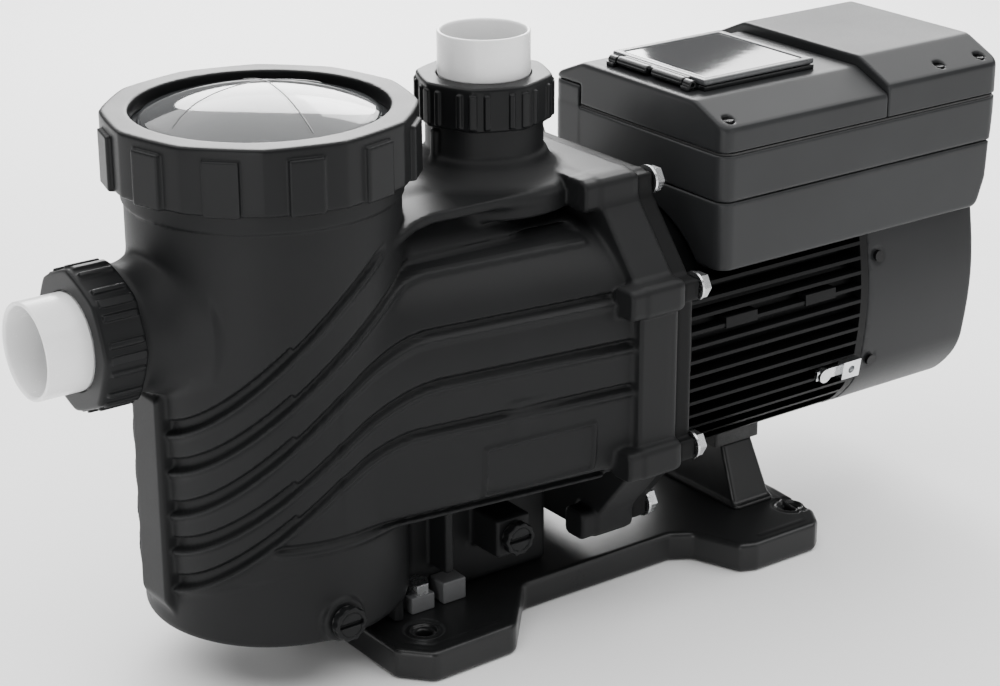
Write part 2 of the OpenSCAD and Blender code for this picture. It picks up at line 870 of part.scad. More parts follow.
module capacitors() {
    color("#4a4f63") for (x = [250, 284], y = [-42, 0, 42]) {
        rod_z(14, 288.6, 328, x, y);
    }
}

// Frame around the display, with the flap's hinge seat along its front edge
module display_bezel() {
    half = flap_size / 2;
    color("#101214") difference() {
        union() {
            box(flap_x0, flap_x0 + flap_size, -half, half, front_top_z, bezel_top);
            for (s = [-1, 1]) box(86.5, flap_x0 + 1, s * 41 - 4, s * 41 + 4, front_top_z, bezel_top);
            for (s = [-1, 1]) rod_y(hinge_r, s * 41 - 4, s * 41 + 4, hinge_x, hinge_z);
        }
        box(114, 186, -38, 38, front_top_z - 1, bezel_top + 1);
        rod_y(1.3, -60, 60, hinge_x, hinge_z);
    }
}

// Screen glass over the upper part of the window, on its carrier above the board
module display_screen() {
    color("#0a1420") difference() {
        union() {
            box(111, 189, -39, 39, carrier_z0, front_top_z);
            box(154, 184, -35, 35, front_top_z - 0.1, front_top_z + 1.8);
        }
        for (p = button_spots) rod_z(button_r + 0.4, carrier_z0 - 1, bezel_top, p[0], p[1]);
    }
}

// Keypad between the hinge and the screen: a cross of four buttons around a fifth
button_r = 4.2;
button_spots = [[143, 0], [121, 0], [132, -15], [132, 15], [132, 0]];

module button(i) {
    color("#d7dadd") translate([button_spots[i][0], button_spots[i][1], 0]) {
        rod_z(button_r, carrier_z0 - 0.4, bezel_top - 0.6);
        rod_z(button_r + 1, carrier_z0 - 2, carrier_z0 - 0.3);
    }
}

module button_up() { button(0); }
module button_down() { button(1); }
module button_left() { button(2); }
module button_right() { button(3); }
module button_set() { button(4); }

// Glazed flap over the display: a bright rim, a dark pane and two hinge knuckles
module display_flap() {
    half = flap_size / 2;
    color("#15181c") difference() {
        union() {
            box(flap_x0, flap_x0 + flap_size, -half, half, flap_z0 - 0.8, flap_z0 + flap_t);
            box(hinge_x, flap_x0 + 1, -36, 36, flap_z0 - 0.4, flap_z0 + 2.6);
            rod_y(hinge_r, -36, 36, hinge_x, hinge_z);
            rod_y(1.3 - fit, -45, 45, hinge_x, hinge_z);
        }
        box(flap_x0 + 5, flap_x0 + flap_size - 5, -half + 5, half - 5, flap_z0 - 2, flap_z0 + 0.6);
    }
}

// ---------------------------------------------------------------- base

base_half = [
    [178, 52], [174, 98], [165, 112], [158, 117], [102, 117], [90, 112], [76, 76], [62, 67],
    [-71, 67], [-111, 113], [-178, 115], [-196.5, 94]
];

module base_plate() {
    color("#1b1d1f") difference() {
        linear_extrude(base_t) polygon(rounded(mirrored(base_half), 5));
        for (x = [-1, 1], y = [-1, 1]) translate([x * hole_dx / 2, y * hole_dy / 2, 0]) {
            rod_z(hole_r, -1, base_t + 1);
            rod_z(hole_r + 4, base_t - 2, base_t + 1);
        }
        for (s = [-1, 1]) rod_z(foot_bolt_r + 0.3, -1, base_t + 1, foot_bolt_at[0], s * foot_bolt_at[1]);
        // Ribbed hollow on the underside
        for (x = [-60:30:30]) box(x, x + 24, -50, 50, -1, base_t - 6);
    }
}

module motor_pedestal() {
    color("#1b1d1f") hull() {
        box(126, 163, -68, 68, base_t, base_t + 3);
        box(131, 160, -44, 44, 62, 66);
    }
}

module motor_pad() {
    top = shaft_z - motor_half - 1;
    color("#111213") box(122, 164, -46, 46, 66, top);
}

module foot_clamps() {
    color("#55585a") difference() {
        both_sides() {
            box(-160, -141, -61, -44, base_t, 34);
            box(-133.9, -115, -61, -44, base_t, 38);
        }
        for (s = [-1, 1]) rod_z(foot_bolt_r + 0.3, base_t - 1, 40, foot_bolt_at[0], s * foot_bolt_at[1]);
    }
}

module foot_bolts() {
    color("#c9ccce") both_sides() {
        translate([foot_bolt_at[0], foot_bolt_at[1], 34]) cylinder(r = 9, h = 8, $fn = 6);
        rod_z(foot_bolt_r, 4, 34.1, foot_bolt_at[0], foot_bolt_at[1]);
    }
}

// ---------------------------------------------------------------- assembly

pump_body();
strainer_basket();
basket_handle();
strainer_lid();
lid_oring();
lid_lock_ring();
suction_tailpiece();
suction_oring();
suction_union_nut();
discharge_tailpiece();
discharge_oring();
discharge_union_nut();
strainer_drain_plug();
strainer_drain_oring();
volute_drain_plug();
volute_drain_oring();
diffuser();
wear_ring();
impeller();
impeller_nut();
seal_plate();
body_oring();
seal_seat();
seal_head();
motor_bracket();
flange_bolts();
motor_frame();
stator_core();
stator_windings();
rotor_core();
motor_shaft();
shaft_bearings();
rear_end_shield();
cooling_fan();
fan_cowl();
cowl_screws();
ground_lug();
controller_base();
cable_glands();
controller_housing();
cover_gasket();
front_cover();
rear_cover();
cover_screws();
heat_sink();
control_board();
capacitors();
display_bezel();
display_screen();
button_up();
button_down();
button_left();
button_right();
button_set();
display_flap();
base_plate();
motor_pedestal();
motor_pad();
foot_clamps();
foot_bolts();
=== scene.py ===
"""Looks of a pool pump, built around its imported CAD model.

The moulded pieces are distance fields turned into meshes, the turned ones are revolved profiles,
and every material is procedural. Lengths are in millimetres until a mesh is made.
"""

import json
import math
from functools import reduce

import bmesh
import bpy
import numpy as np
from mathutils import Matrix, Vector


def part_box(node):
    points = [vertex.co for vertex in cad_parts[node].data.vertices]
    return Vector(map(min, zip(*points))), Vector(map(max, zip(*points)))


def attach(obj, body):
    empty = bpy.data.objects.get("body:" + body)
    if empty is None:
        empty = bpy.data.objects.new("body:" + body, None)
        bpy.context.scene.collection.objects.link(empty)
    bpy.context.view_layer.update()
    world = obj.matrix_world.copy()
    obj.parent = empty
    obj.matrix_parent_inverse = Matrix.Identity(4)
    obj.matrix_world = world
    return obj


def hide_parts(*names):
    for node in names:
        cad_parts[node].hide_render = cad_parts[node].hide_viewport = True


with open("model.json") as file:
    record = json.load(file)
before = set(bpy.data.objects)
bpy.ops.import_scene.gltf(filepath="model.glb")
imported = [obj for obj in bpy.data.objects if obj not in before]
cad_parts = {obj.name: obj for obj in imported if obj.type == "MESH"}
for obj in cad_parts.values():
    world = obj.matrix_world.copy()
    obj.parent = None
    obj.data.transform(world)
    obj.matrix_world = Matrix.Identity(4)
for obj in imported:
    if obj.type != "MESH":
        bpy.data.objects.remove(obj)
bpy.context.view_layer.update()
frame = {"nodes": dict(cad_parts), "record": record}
MM = 0.001


# ------------------------------------------------------------------ places, from the frame

def span(node, axis):
    """Lowest and highest coordinate of a CAD node along an axis, in mm."""
    low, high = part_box(node)
    return low[axis] / MM, high[axis] / MM


def middle(node, axis):
    low, high = span(node, axis)
    return (low + high) / 2


SHAFT_Z = middle("motor_shaft", 2)
POT_X = middle("strainer_lid", 0)
POT_R = 88.5
NECK_TOP = span("pump_body", 2)[1]
CHAMBER_FLOOR = span("strainer_basket", 2)[0] - 6.0
POT_BASE = CHAMBER_FLOOR - 13.5
SUCTION_Z = middle("suction_tailpiece", 2)
NUT_BACK_X = span("suction_union_nut", 0)[1]
DISCHARGE_X = middle("discharge_tailpiece", 0)
NUT_BASE_Z = span("discharge_union_nut", 2)[0]
NUT_H = span("discharge_union_nut", 2)[1] - NUT_BASE_Z
PORT_R, PORT_BORE, PORT_RISE = 40.0, 28.5, 18.5
FLANGE_X1 = span("pump_body", 0)[1]
FLANGE_X0 = FLANGE_X1 - 33.0
BOSS_X0 = FLANGE_X1 - 45.5
BRACKET_X1 = span("flange_bolts", 0)[1] - 8.6
BOLTS = [(117.0, 58.0), (66.0, 120.0)]
LOBE = 10.8
BASE_TOP = span("base_plate", 2)[1]


# ------------------------------------------------------------------ distance fields

class Block:
    """Sample points of a box, kept as three axes that broadcast against each other."""

    def __init__(self, low, high, step):
        counts = [int(math.ceil((h - l) / step)) + 1 for l, h in zip(low, high)]
        axes = [(l + step * np.arange(n)).astype(np.float32) for l, n in zip(low, counts)]
        self.low, self.step, self.axes = np.array(low, float), step, axes
        self.spread(axes)

    def spread(self, axes):
        self.x, self.y, self.z = axes[0][:, None, None], axes[1][None, :, None], axes[2][None, None, :]

    def part(self, low, high):
        """The slices of the samples between two corners, and the smaller block they make."""
        where = []
        for axis, l, h in zip(self.axes, low, high):
            where.append(slice(int(np.searchsorted(axis, l)), int(np.searchsorted(axis, h))))
        small = object.__new__(Block)
        small.spread([axis[w] for axis, w in zip(self.axes, where)])
        return tuple(where), small


def padded(low, high, step, margin=2.5):
    """Block around a box, with a margin for the surface on every side."""
    return Block([v - margin for v in low], [v + margin for v in high], step)


def join(a, b, k=0.0):
    """Union of two fields, with a fillet of about k."""
    if k <= 0:
        return np.minimum(a, b)
    h = np.clip(0.5 + 0.5 * (b - a) / k, 0, 1)
    return b + (a - b) * h - k * h * (1 - h)


def cut(a, b, k=0.0):
    """Field a without field b, with an edge rounded by about k."""
    return -join(-a, b, k)


def common(a, b, k=0.0):
    return -join(-a, -b, k)


def slab(v, low, high):
    return np.abs(v - (low + high) / 2) - (high - low) / 2


def crossed(a, b, r=0.0):
    """The solid where a and b overlap, with an outer edge of radius r."""
    a, b = a + r, b + r
    return np.minimum(np.maximum(a, b), 0) + np.hypot(np.maximum(a, 0), np.maximum(b, 0)) - r


def overlap(*fields):
    """The solid where every field overlaps, with sharp edges."""
    return reduce(np.maximum, fields)


def rod(u, v, radius, w, low, high, r=0.0):
    return crossed(np.hypot(u, v) - radius, slab(w, low, high), r)


def brick(b, x, y, z, r=0.0):
    """Rounded box between the given low and high values on each axis."""
    q = [slab(v, *s) + r for v, s in ((b.x, x), (b.y, y), (b.z, z))]
    outside = np.sqrt(sum(np.maximum(c, 0) ** 2 for c in q))
    return np.minimum(np.maximum(np.maximum(q[0], q[1]), q[2]), 0) + outside - r


def square(u, v, cu, cv, half, r):
    """Rounded square around (cu, cv)."""
    return crossed(np.abs(u - cu) - half, np.abs(v - cv) - half, r)


def smoothstep(t):
    t = np.clip(t, 0, 1)
    return t * t * (3 - 2 * t)


def band(u, low, high, soft):
    """1 between low and high, falling to 0 over soft on each side."""
    return smoothstep((u - low) / soft + 0.5) * (1 - smoothstep((u - high) / soft + 0.5))


def rounded(points, radii):
    """The closed outline with its corners turned into arcs."""
    out, n = [], len(points)
    for i, b in enumerate(points):
        r = radii[i] if isinstance(radii, (list, tuple)) else radii
        a, c = Vector(points[i - 1]), Vector(points[(i + 1) % n])
        b = Vector(b)
        if r <= 0:
            out.append(tuple(b))
            continue
        u, w = (a - b).normalized(), (c - b).normalized()
        half = u.angle(w) / 2
        centre = b + (u + w).normalized() * r / math.sin(half)
        p, q = b + u * r / math.tan(half) - centre, b + w * r / math.tan(half) - centre
        turn = math.atan2(p.x * q.y - p.y * q.x, p.dot(q))
        for k in range(7):
            t = turn * k / 6
            out.append((centre.x + p.x * math.cos(t) - p.y * math.sin(t),
                        centre.y + p.x * math.sin(t) + p.y * math.cos(t)))
    return out


def outline(u, v, points):
    """Distance from (u, v) to a closed outline, negative inside it."""
    best, inside = np.float32(1e12), False
    for (ax, ay), (bx, by) in zip(points, points[-1:] + points[:-1]):
        ex, ey, wx, wy = bx - ax, by - ay, u - ax, v - ay
        t = np.clip((wx * ex + wy * ey) / (ex * ex + ey * ey), 0, 1)
        best = np.minimum(best, (wx - ex * t) ** 2 + (wy - ey * t) ** 2)
        above, below, left = v >= ay, v < by, ex * wy > ey * wx
        inside = inside ^ ((above & below & left) | (~above & ~below & ~left))
    return np.where(inside, -1, 1).astype(np.float32) * np.sqrt(best)


def mirrored(half):
    """An outline given for y >= 0 from high x to low x, closed by its mirror image."""
    return half + [(x, -y) for x, y in reversed(half)]


def surface_net(field, low, step):
    """Vertices and quads of the surface where the field is zero."""
    inside = field < 0
    corners = [np.array([i, j, k]) for i in (0, 1) for j in (0, 1) for k in (0, 1)]
    size = [n - 1 for n in field.shape]
    around = [inside[tuple(slice(c[i], c[i] + size[i]) for i in range(3))] for c in corners]
    mixed = np.logical_or.reduce(around) & ~np.logical_and.reduce(around)
    cells = np.argwhere(mixed)
    number = np.full(mixed.shape, -1, np.int64)
    number[mixed] = np.arange(len(cells))
    total, count = np.zeros((len(cells), 3)), np.zeros(len(cells))
    for a in corners:
        for axis in range(3):
            if a[axis]:
                continue
            d = np.eye(3, dtype=int)[axis]
            fa, fb = field[tuple((cells + a).T)], field[tuple((cells + a + d).T)]
            hit = (fa < 0) != (fb < 0)
            total[hit] += a + (fa[hit] / (fa[hit] - fb[hit]))[:, None] * d
            count[hit] += 1
    verts = low + (cells + total / count[:, None]) * step
    quads = []
    for axis in range(3):
        p, q = [i for i in range(3) if i != axis]
        first, second, inner = [slice(None)] * 3, [slice(None)] * 3, [slice(None)] * 3
        first[axis], second[axis] = slice(0, -1), slice(1, None)
        inner[p] = inner[q] = slice(1, -1)
        here = inside[tuple(first)]
        crossing = here != inside[tuple(second)]
        edges = np.argwhere(crossing[tuple(inner)])
        edges[:, p] += 1
        edges[:, q] += 1
        leaving = here[tuple(edges.T)]
        ring = []
        for dp, dq in ((1, 1), (0, 1), (0, 0), (1, 0)):
            cell = edges.copy()
            cell[:, p] -= dp
            cell[:, q] -= dq
            ring.append(number[tuple(cell.T)])
        quad = np.stack(ring, 1)
        keep = leaving if axis != 1 else ~leaving
        quad[~keep] = quad[~keep][:, ::-1]
        quads.append(quad)
    return verts, np.concatenate(quads)


# ------------------------------------------------------------------ meshes

def mesh_object(name, verts, faces):
    """A smooth-shaded object from vertices in mm and faces."""
    mesh = bpy.data.meshes.new(name)
    verts = np.asarray(verts, np.float32) * MM
    if isinstance(faces, np.ndarray):
        n, sides = faces.shape
        mesh.vertices.add(len(verts))
        mesh.vertices.foreach_set("co", verts.ravel())
        mesh.loops.add(n * sides)
        mesh.loops.foreach_set("vertex_index", faces.astype(np.int32).ravel())
        mesh.polygons.add(n)
        mesh.polygons.foreach_set("loop_start", np.arange(0, n * sides, sides, dtype=np.int32))
    else:
        mesh.from_pydata([tuple(v) for v in verts.tolist()], [], faces)
    mesh.update(calc_edges=True)
    mesh.validate()
    mesh.polygons.foreach_set("use_smooth", [True] * len(mesh.polygons))
    obj = bpy.data.objects.new(name, mesh)
    bpy.context.scene.collection.objects.link(obj)
    return obj


def moulded(name, block, field, share):
    """Object from a distance field; share is the part of its triangles that stays."""
    obj = mesh_object(name, *surface_net(np.ascontiguousarray(field, np.float32), block.low, block.step))
    thin = obj.modifiers.new("thin", "DECIMATE")
    thin.ratio = share
    weighted(obj)
    return obj


def weighted(obj):
    normals = obj.modifiers.new("normals", "WEIGHTED_NORMAL")
    normals.weight = 50
    normals.keep_sharp = False


def revolved(name, profile, centre, axis="z", sides=128):
    """Object of revolution from (radius, height) points, closed on itself, along z or -x."""
    turn = [2 * math.pi * k / sides for k in range(sides)]
    verts, rows, faces = [], [], []
    for r, h in profile:
        rows.append([len(verts) + (k if r > 0 else 0) for k in range(sides)])
        verts += [(r * math.cos(t), r * math.sin(t), h) for t in (turn if r > 0 else turn[:1])]
    for i, row in enumerate(rows):
        above = rows[(i + 1) % len(rows)]
        for k in range(sides):
            m = (k + 1) % sides
            face = tuple(dict.fromkeys((row[k], row[m], above[m], above[k])))
            if len(face) > 2:
                faces.append(face)
    verts = np.array(verts)
    if axis == "-x":
        verts = np.stack([-verts[:, 2], verts[:, 0], verts[:, 1]], 1) * [1, -1, 1]
    obj = mesh_object(name, verts + np.array(centre), faces)
    weighted(obj)
    return obj


def softened(obj, width):
    """Rounds an object's edges with modifiers, so its own mesh stays as it is."""
    weld = obj.modifiers.new("weld", "WELD")
    weld.merge_threshold = 0.00002
    bevel = obj.modifiers.new("edges", "BEVEL")
    bevel.width, bevel.segments = width * MM, 2
    bevel.limit_method, bevel.angle_limit = "ANGLE", math.radians(35)
    bevel.use_clamp_overlap = True
    weighted(obj)


replaced = set()


def put(obj, material, body, *nodes, slot=None):
    """Gives a piece its material, the body it rides on and the CAD nodes it replaces.
    The slot argument is not used."""
    obj.data.materials.clear()
    obj.data.materials.append(MATERIALS[material])
    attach(obj, body)
    if nodes:
        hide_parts(*nodes)
        replaced.update(nodes)


# ------------------------------------------------------------------ materials

class Nodes:
    """Short names for building a node tree around one Principled shader."""

    def __init__(self, name):
        self.material = bpy.data.materials.new(name)
        self.material.use_nodes = True
        self.tree = self.material.node_tree
        self.tree.nodes.clear()
        self.shader = self.tree.nodes.new("ShaderNodeBsdfPrincipled")
        output = self.tree.nodes.new("ShaderNodeOutputMaterial")
        self.link(self.shader.outputs[0], output.inputs[0])
        self.place = self.tree.nodes.new("ShaderNodeTexCoord").outputs["Object"]

    def link(self, a, b):
        self.tree.links.new(a, b)

    def node(self, kind, **values):
        node = self.tree.nodes.new("ShaderNode" + kind)
        for key, value in values.items():
            setattr(node, key, value)
        return node

    def stretched(self, scale):
        mapping = self.node("Mapping")
        mapping.inputs["Scale"].default_value = scale
        self.link(self.place, mapping.inputs["Vector"])
        return mapping.outputs[0]

    def noise(self, scale, detail=3.0, rough=0.55, place=None):
        noise = self.node("TexNoise")
        noise.inputs["Scale"].default_value = scale
        noise.inputs["Detail"].default_value = detail
        noise.inputs["Roughness"].default_value = rough
        self.link(place or self.place, noise.inputs["Vector"])
        return noise.outputs["Fac"]

    def ramp(self, value, low, high, to_low=0.0, to_high=1.0):
        ranged = self.node("MapRange", clamp=True)
        self.link(value, ranged.inputs["Value"])
        for key, number in (("From Min", low), ("From Max", high), ("To Min", to_low), ("To Max", to_high)):
            ranged.inputs[key].default_value = number
        return ranged.outputs["Result"]

    def mix(self, factor, a, b):
        """Colour between a and b, each a colour or a socket."""
        mix = self.node("Mix", data_type="RGBA")
        self.link(factor, mix.inputs["Factor"])
        for key, value in ((6, a), (7, b)):
            if isinstance(value, tuple):
                mix.inputs[key].default_value = (*value, 1)
            else:
                self.link(value, mix.inputs[key])
        return mix.outputs[2]

    def math(self, operation, a, b=0.0):
        node = self.node("Math", operation=operation)
        for i, value in enumerate((a, b)):
            if isinstance(value, (int, float)):
                node.inputs[i].default_value = value
            else:
                self.link(value, node.inputs[i])
        return node.outputs[0]

    def bump(self, height, distance, strength=1.0):
        bump = self.node("Bump")
        bump.inputs["Distance"].default_value = distance * MM
        bump.inputs["Strength"].default_value = strength
        self.link(height, bump.inputs["Height"])
        self.link(bump.outputs[0], self.shader.inputs["Normal"])

    def set(self, **values):
        for key, value in values.items():
            socket = self.shader.inputs[key.replace("_", " ")]
            if hasattr(value, "node"):
                self.link(value, socket)
            else:
                socket.default_value = value


def tint(colour, factor):
    return tuple(min(1.0, c * factor) for c in colour)


def moulded_plastic(name, colour, rough, grain=0.05, grain_scale=1400.0, spec=0.5):
    """Moulded plastic: a fine grain, slow changes of gloss and tone, and paler edges, partly edge wear and
    partly a painted highlight.
    """
    n = Nodes(name)
    slow, fine = n.noise(14.0, 3.0), n.noise(grain_scale, 2.0)
    tone = n.mix(n.ramp(slow, 0.3, 0.7), tint(colour, 0.86), tint(colour, 1.14))
    # Sharp edges are painted paler: partly wear, partly a painted highlight along the edges.
    edges = n.node("NewGeometry").outputs["Pointiness"]
    tone = n.mix(n.ramp(edges, 0.52, 0.6, 0.0, 0.6), tone, tint(colour, 1.6))
    n.set(Base_Color=tone, Roughness=n.ramp(n.math("ADD", slow, fine), 0.7, 1.3, rough - 0.05, rough + 0.05))
    n.shader.inputs["Specular IOR Level"].default_value = spec
    n.bump(fine, grain)
    return n.material


def gloss_plastic(name, colour, rough, coat=0.0):
    """Polished moulding with a faint waviness and a little haze."""
    n = Nodes(name)
    slow, haze = n.noise(30.0, 2.0), n.noise(260.0, 3.0)
    n.set(Base_Color=n.mix(n.ramp(slow, 0.3, 0.7), tint(colour, 0.96), tint(colour, 1.03)),
          Roughness=n.ramp(haze, 0.3, 0.7, rough * 0.8, rough * 1.3))
    n.shader.inputs["Coat Weight"].default_value = coat
    n.bump(slow, 0.03)
    return n.material


def painted(name, colour, rough, peel, spec):
    """Satin paint on a casting: orange peel, mottled gloss, and edges painted paler, partly thin paint and
    partly a painted highlight.
    """
    n = Nodes(name)
    slow, peels = n.noise(18.0, 3.0), n.noise(420.0, 2.0)
    tone = n.mix(n.ramp(slow, 0.3, 0.7), tint(colour, 0.88), tint(colour, 1.12))
    # Sharp edges are painted paler: partly thin paint, partly a painted highlight along the edges.
    edges = n.node("NewGeometry").outputs["Pointiness"]
    tone = n.mix(n.ramp(edges, 0.53, 0.62, 0.0, 0.7), tone, tint(colour, 1.8))
    n.set(Base_Color=tone, Roughness=n.ramp(peels, 0.3, 0.7, rough - 0.06, rough + 0.06))
    n.shader.inputs["Specular IOR Level"].default_value = spec
    n.bump(peels, peel)
    return n.material


def brushed(name, colour, rough):
    """Bare metal with fine brush lines and slight staining."""
    n = Nodes(name)
    lines = n.noise(1.0, 3.0, 0.6, n.stretched((30.0, 110.0, 110.0)))
    stain = n.noise(60.0, 4.0)
    n.set(Base_Color=n.mix(n.ramp(stain, 0.35, 0.75), colour, tint(colour, 0.72)),
          Metallic=1.0, Roughness=n.ramp(lines, 0.25, 0.75, rough * 0.88, rough * 1.15))
    n.bump(lines, 0.01)
    return n.material


def rubber(name, colour):
    n = Nodes(name)
    dust, fine = n.noise(90.0, 4.0), n.noise(900.0, 2.0)
    n.set(Base_Color=n.mix(n.ramp(dust, 0.4, 0.8), colour, tint(colour, 2.2)),
          Roughness=n.ramp(fine, 0.3, 0.7, 0.55, 0.75))
    n.bump(fine, 0.06)
    return n.material


def laminated(name, colour):
    """Steel sheets stacked along the shaft."""
    n = Nodes(name)
    sheets = n.node("TexWave", wave_type="BANDS", bands_direction="X")
    sheets.inputs["Scale"].default_value = 320.0
    n.link(n.place, sheets.inputs["Vector"])
    rust = n.noise(70.0, 4.0)
    n.set(Base_Color=n.mix(n.ramp(rust, 0.5, 0.8, 0.0, 0.5), colour, (0.12, 0.07, 0.04)),
          Metallic=0.9, Roughness=n.ramp(sheets.outputs["Fac"], 0, 1, 0.35, 0.6))
    n.bump(sheets.outputs["Fac"], 0.12)
    return n.material


def wound_wire(name, colour):
    """Enamelled wire laid side by side round the shaft, with painted shade in the grooves between turns."""
    n = Nodes(name)
    turns = n.node("TexWave", wave_type="RINGS", rings_direction="X")
    turns.inputs["Scale"].default_value = 150.0
    turns.inputs["Distortion"].default_value = 1.5
    n.link(n.place, turns.inputs["Vector"])
    fac = turns.outputs["Fac"]
    # Darker in the grooves between turns: painted shade.
    n.set(Base_Color=n.mix(fac, tint(colour, 0.35), colour), Metallic=0.7,
          Roughness=n.ramp(fac, 0, 1, 0.5, 0.3))
    n.bump(fac, 0.5)
    return n.material


def circuit_board(name, colour):
    """Solder mask over a maze of copper tracks."""
    n = Nodes(name)
    tracks = n.node("TexBrick", offset=0.5)
    tracks.inputs["Scale"].default_value = 220.0
    tracks.inputs["Mortar Size"].default_value = 0.03
    n.link(n.place, tracks.inputs["Vector"])
    lines = tracks.outputs["Fac"]
    n.set(Base_Color=n.mix(lines, colour, tint(colour, 2.6)), Roughness=n.ramp(lines, 0, 1, 0.25, 0.4))
    n.bump(lines, 0.08)
    return n.material


def smoky_lid(name):
    """Clear moulded plastic with a smoky tint, faint flow lines and a light haze."""
    n = Nodes(name)
    flow, haze = n.noise(9.0, 2.0), n.noise(240.0, 3.0)
    n.set(Base_Color=n.mix(n.ramp(flow, 0.3, 0.7), (0.24, 0.25, 0.26), (0.31, 0.32, 0.33)),
          Roughness=n.ramp(haze, 0.3, 0.7, 0.02, 0.07))
    n.shader.inputs["Transmission Weight"].default_value = 0.85
    n.shader.inputs["IOR"].default_value = 1.49
    n.bump(flow, 0.25)
    return n.material


def display_glass(name, colour):
    """A dark screen behind glass, with a faint grid of cells."""
    n = Nodes(name)
    cells = n.node("TexBrick", offset=0.0)
    cells.inputs["Scale"].default_value = 900.0
    cells.inputs["Mortar Size"].default_value = 0.012
    n.link(n.place, cells.inputs["Vector"])
    n.set(Base_Color=n.mix(cells.outputs["Fac"], tint(colour, 1.8), colour),
          Roughness=n.ramp(n.noise(200.0), 0.3, 0.7, 0.04, 0.09))
    n.shader.inputs["Coat Weight"].default_value = 0.6
    return n.material


BLACK_BODY = (0.0085, 0.0088, 0.0092)
# Each row is a recipe and its values: colour, roughness, and for some the depth of the grain or peel,
# the grain's scale, and the specular level or coat
RECIPES = {
    "body_plastic": (moulded_plastic, BLACK_BODY, 0.5, 0.06, 1300.0, 0.17),
    # The bracket: the body plastic at half its tone, as painted shade for the bracket set back between the
    # wet end and the motor.
    "bracket_plastic": (moulded_plastic, tint(BLACK_BODY, 0.5), 0.55, 0.06, 1300.0, 0.12),
    "ring_plastic": (moulded_plastic, (0.007, 0.0073, 0.0077), 0.4, 0.03, 1500.0, 0.16),
    "base_plastic": (moulded_plastic, (0.009, 0.0093, 0.0096), 0.32, 0.03, 1500.0, 0.35),
    "clamp_grey": (moulded_plastic, (0.07, 0.071, 0.073), 0.5, 0.05),
    "lid_clear": (smoky_lid,),
    "pvc_white": (gloss_plastic, (0.93, 0.93, 0.93), 0.22),
    "basket_plastic": (gloss_plastic, (0.62, 0.65, 0.67), 0.3),
    "rubber_black": (rubber, (0.012, 0.012, 0.012)),
    "hydraulic_plastic": (moulded_plastic, (0.06, 0.065, 0.07), 0.5, 0.05),
    "brass": (brushed, (0.72, 0.52, 0.22), 0.3),
    "seal_face": (gloss_plastic, (0.76, 0.74, 0.68), 0.2),
    "bright_steel": (brushed, (0.72, 0.73, 0.74), 0.26),
    "motor_paint": (painted, (0.003, 0.0032, 0.0034), 0.42, 0.06, 0.12),
    "core_steel": (laminated, (0.32, 0.32, 0.33)),
    "copper": (wound_wire, (0.62, 0.28, 0.11)),
    "cowl_paint": (moulded_plastic, (0.0135, 0.014, 0.0148), 0.42, 0.03, 1500.0, 0.18),
    "fan_plastic": (moulded_plastic, (0.04, 0.04, 0.044), 0.45, 0.04),
    "screw_black": (painted, (0.004, 0.004, 0.0043), 0.3, 0.02, 0.2),
    "box_paint": (moulded_plastic, (0.0195, 0.0203, 0.0212), 0.38, 0.03, 1500.0, 0.22),
    "bare_aluminium": (brushed, (0.74, 0.75, 0.76), 0.34),
    "board_green": (circuit_board, (0.012, 0.09, 0.045)),
    "capacitor_sleeve": (gloss_plastic, (0.02, 0.025, 0.06), 0.25),
    "bezel_plastic": (moulded_plastic, (0.006, 0.0065, 0.007), 0.25, 0.02, 1500.0, 0.35),
    # The lid's seams: dark and opaque, as painted shade for the dark lines across the dome's reflection.
    "lid_seam": (gloss_plastic, (0.03, 0.03, 0.032), 0.3),
    # The flap's rim: a paler copy of the bezel plastic, as a painted highlight along the rim.
    "flap_rim": (gloss_plastic, (0.06, 0.062, 0.065), 0.22),
    "flap_gloss": (gloss_plastic, (0.007, 0.008, 0.010), 0.035, 0.6),
    "screen_glass": (display_glass, (0.01, 0.018, 0.03)),
    "button_plastic": (moulded_plastic, (0.42, 0.44, 0.46), 0.4, 0.02, 1500.0),
}
MATERIALS = {name: recipe(name, *values) for name, (recipe, *values) in RECIPES.items()}


# ------------------------------------------------------------------ pump body

BODY_STEP, BODY_SHARE = 1.4, 0.26
# Swept ribs, highest first: heights at the keel and at the flange, where the sweep ends along the side,
# and how far short of the flange the rib stops
RIBS = [(178.0, 303.0, 215.0, 42.0), (152.0, 268.0, 218.0, 44.0), (122.0, 231.0, 205.0, 42.0),
        (97.0, 198.5, 210.0, 30.0), (70.0, 167.0, 195.0, 30.0)]
RIB_START, RIB_OUT, RIB_HALF, GROOVE_END, GROOVE_DEPTH = 5.0, 1.9, 2.4, 6.8, 2.9
STEP_S, LOW_LINE, KEEL_SIDE = 106.0, 105.0, 16
PANEL_X, PANEL_Z, PANEL_TILT, PANEL_HALF_X, PANEL_HALF_Z = -85, 133, 0.02, 43, 19
POT_TOP, POT_EDGE, CHAMBER_R, CHAMBER_TOP, MOUTH_R = 345, 5, 82.5, 316, 80
NECK_R, NECK_FOOT, COLLAR_R, COLLAR_LOW, COLLAR_HIGH = 90, 325, 90.4, 321, 333.6
VOLUTE_R, VOLUTE_X0, VOLUTE_BORE, BORE_X0, EYE_R = 103, -112, 100, -62, 30
CROWN_R, CROWN_Z = 61, 244
SKIRT_R, SKIRT_TOP, STEP_R, STEP_TOP, FLARE_R = 42, 320, 42.6, 318, 41
PLUG_BOSS_R, PLUG_HOLE_R, POT_PLUG_BACK, POT_PLUG_Z, VOLUTE_PLUG_X, VOLUTE_PLUG_Z = 15, 8, 5, 54, -84, 65
SIDE_TOP, SIDE_MID, SIDE_LOW = 281.0, 192.0, 102.0
POT_SIDE, SIDE_FLARE = 87.5, 0.125
ROOF_TOP, LIP_LOW = 302.5, 295.0
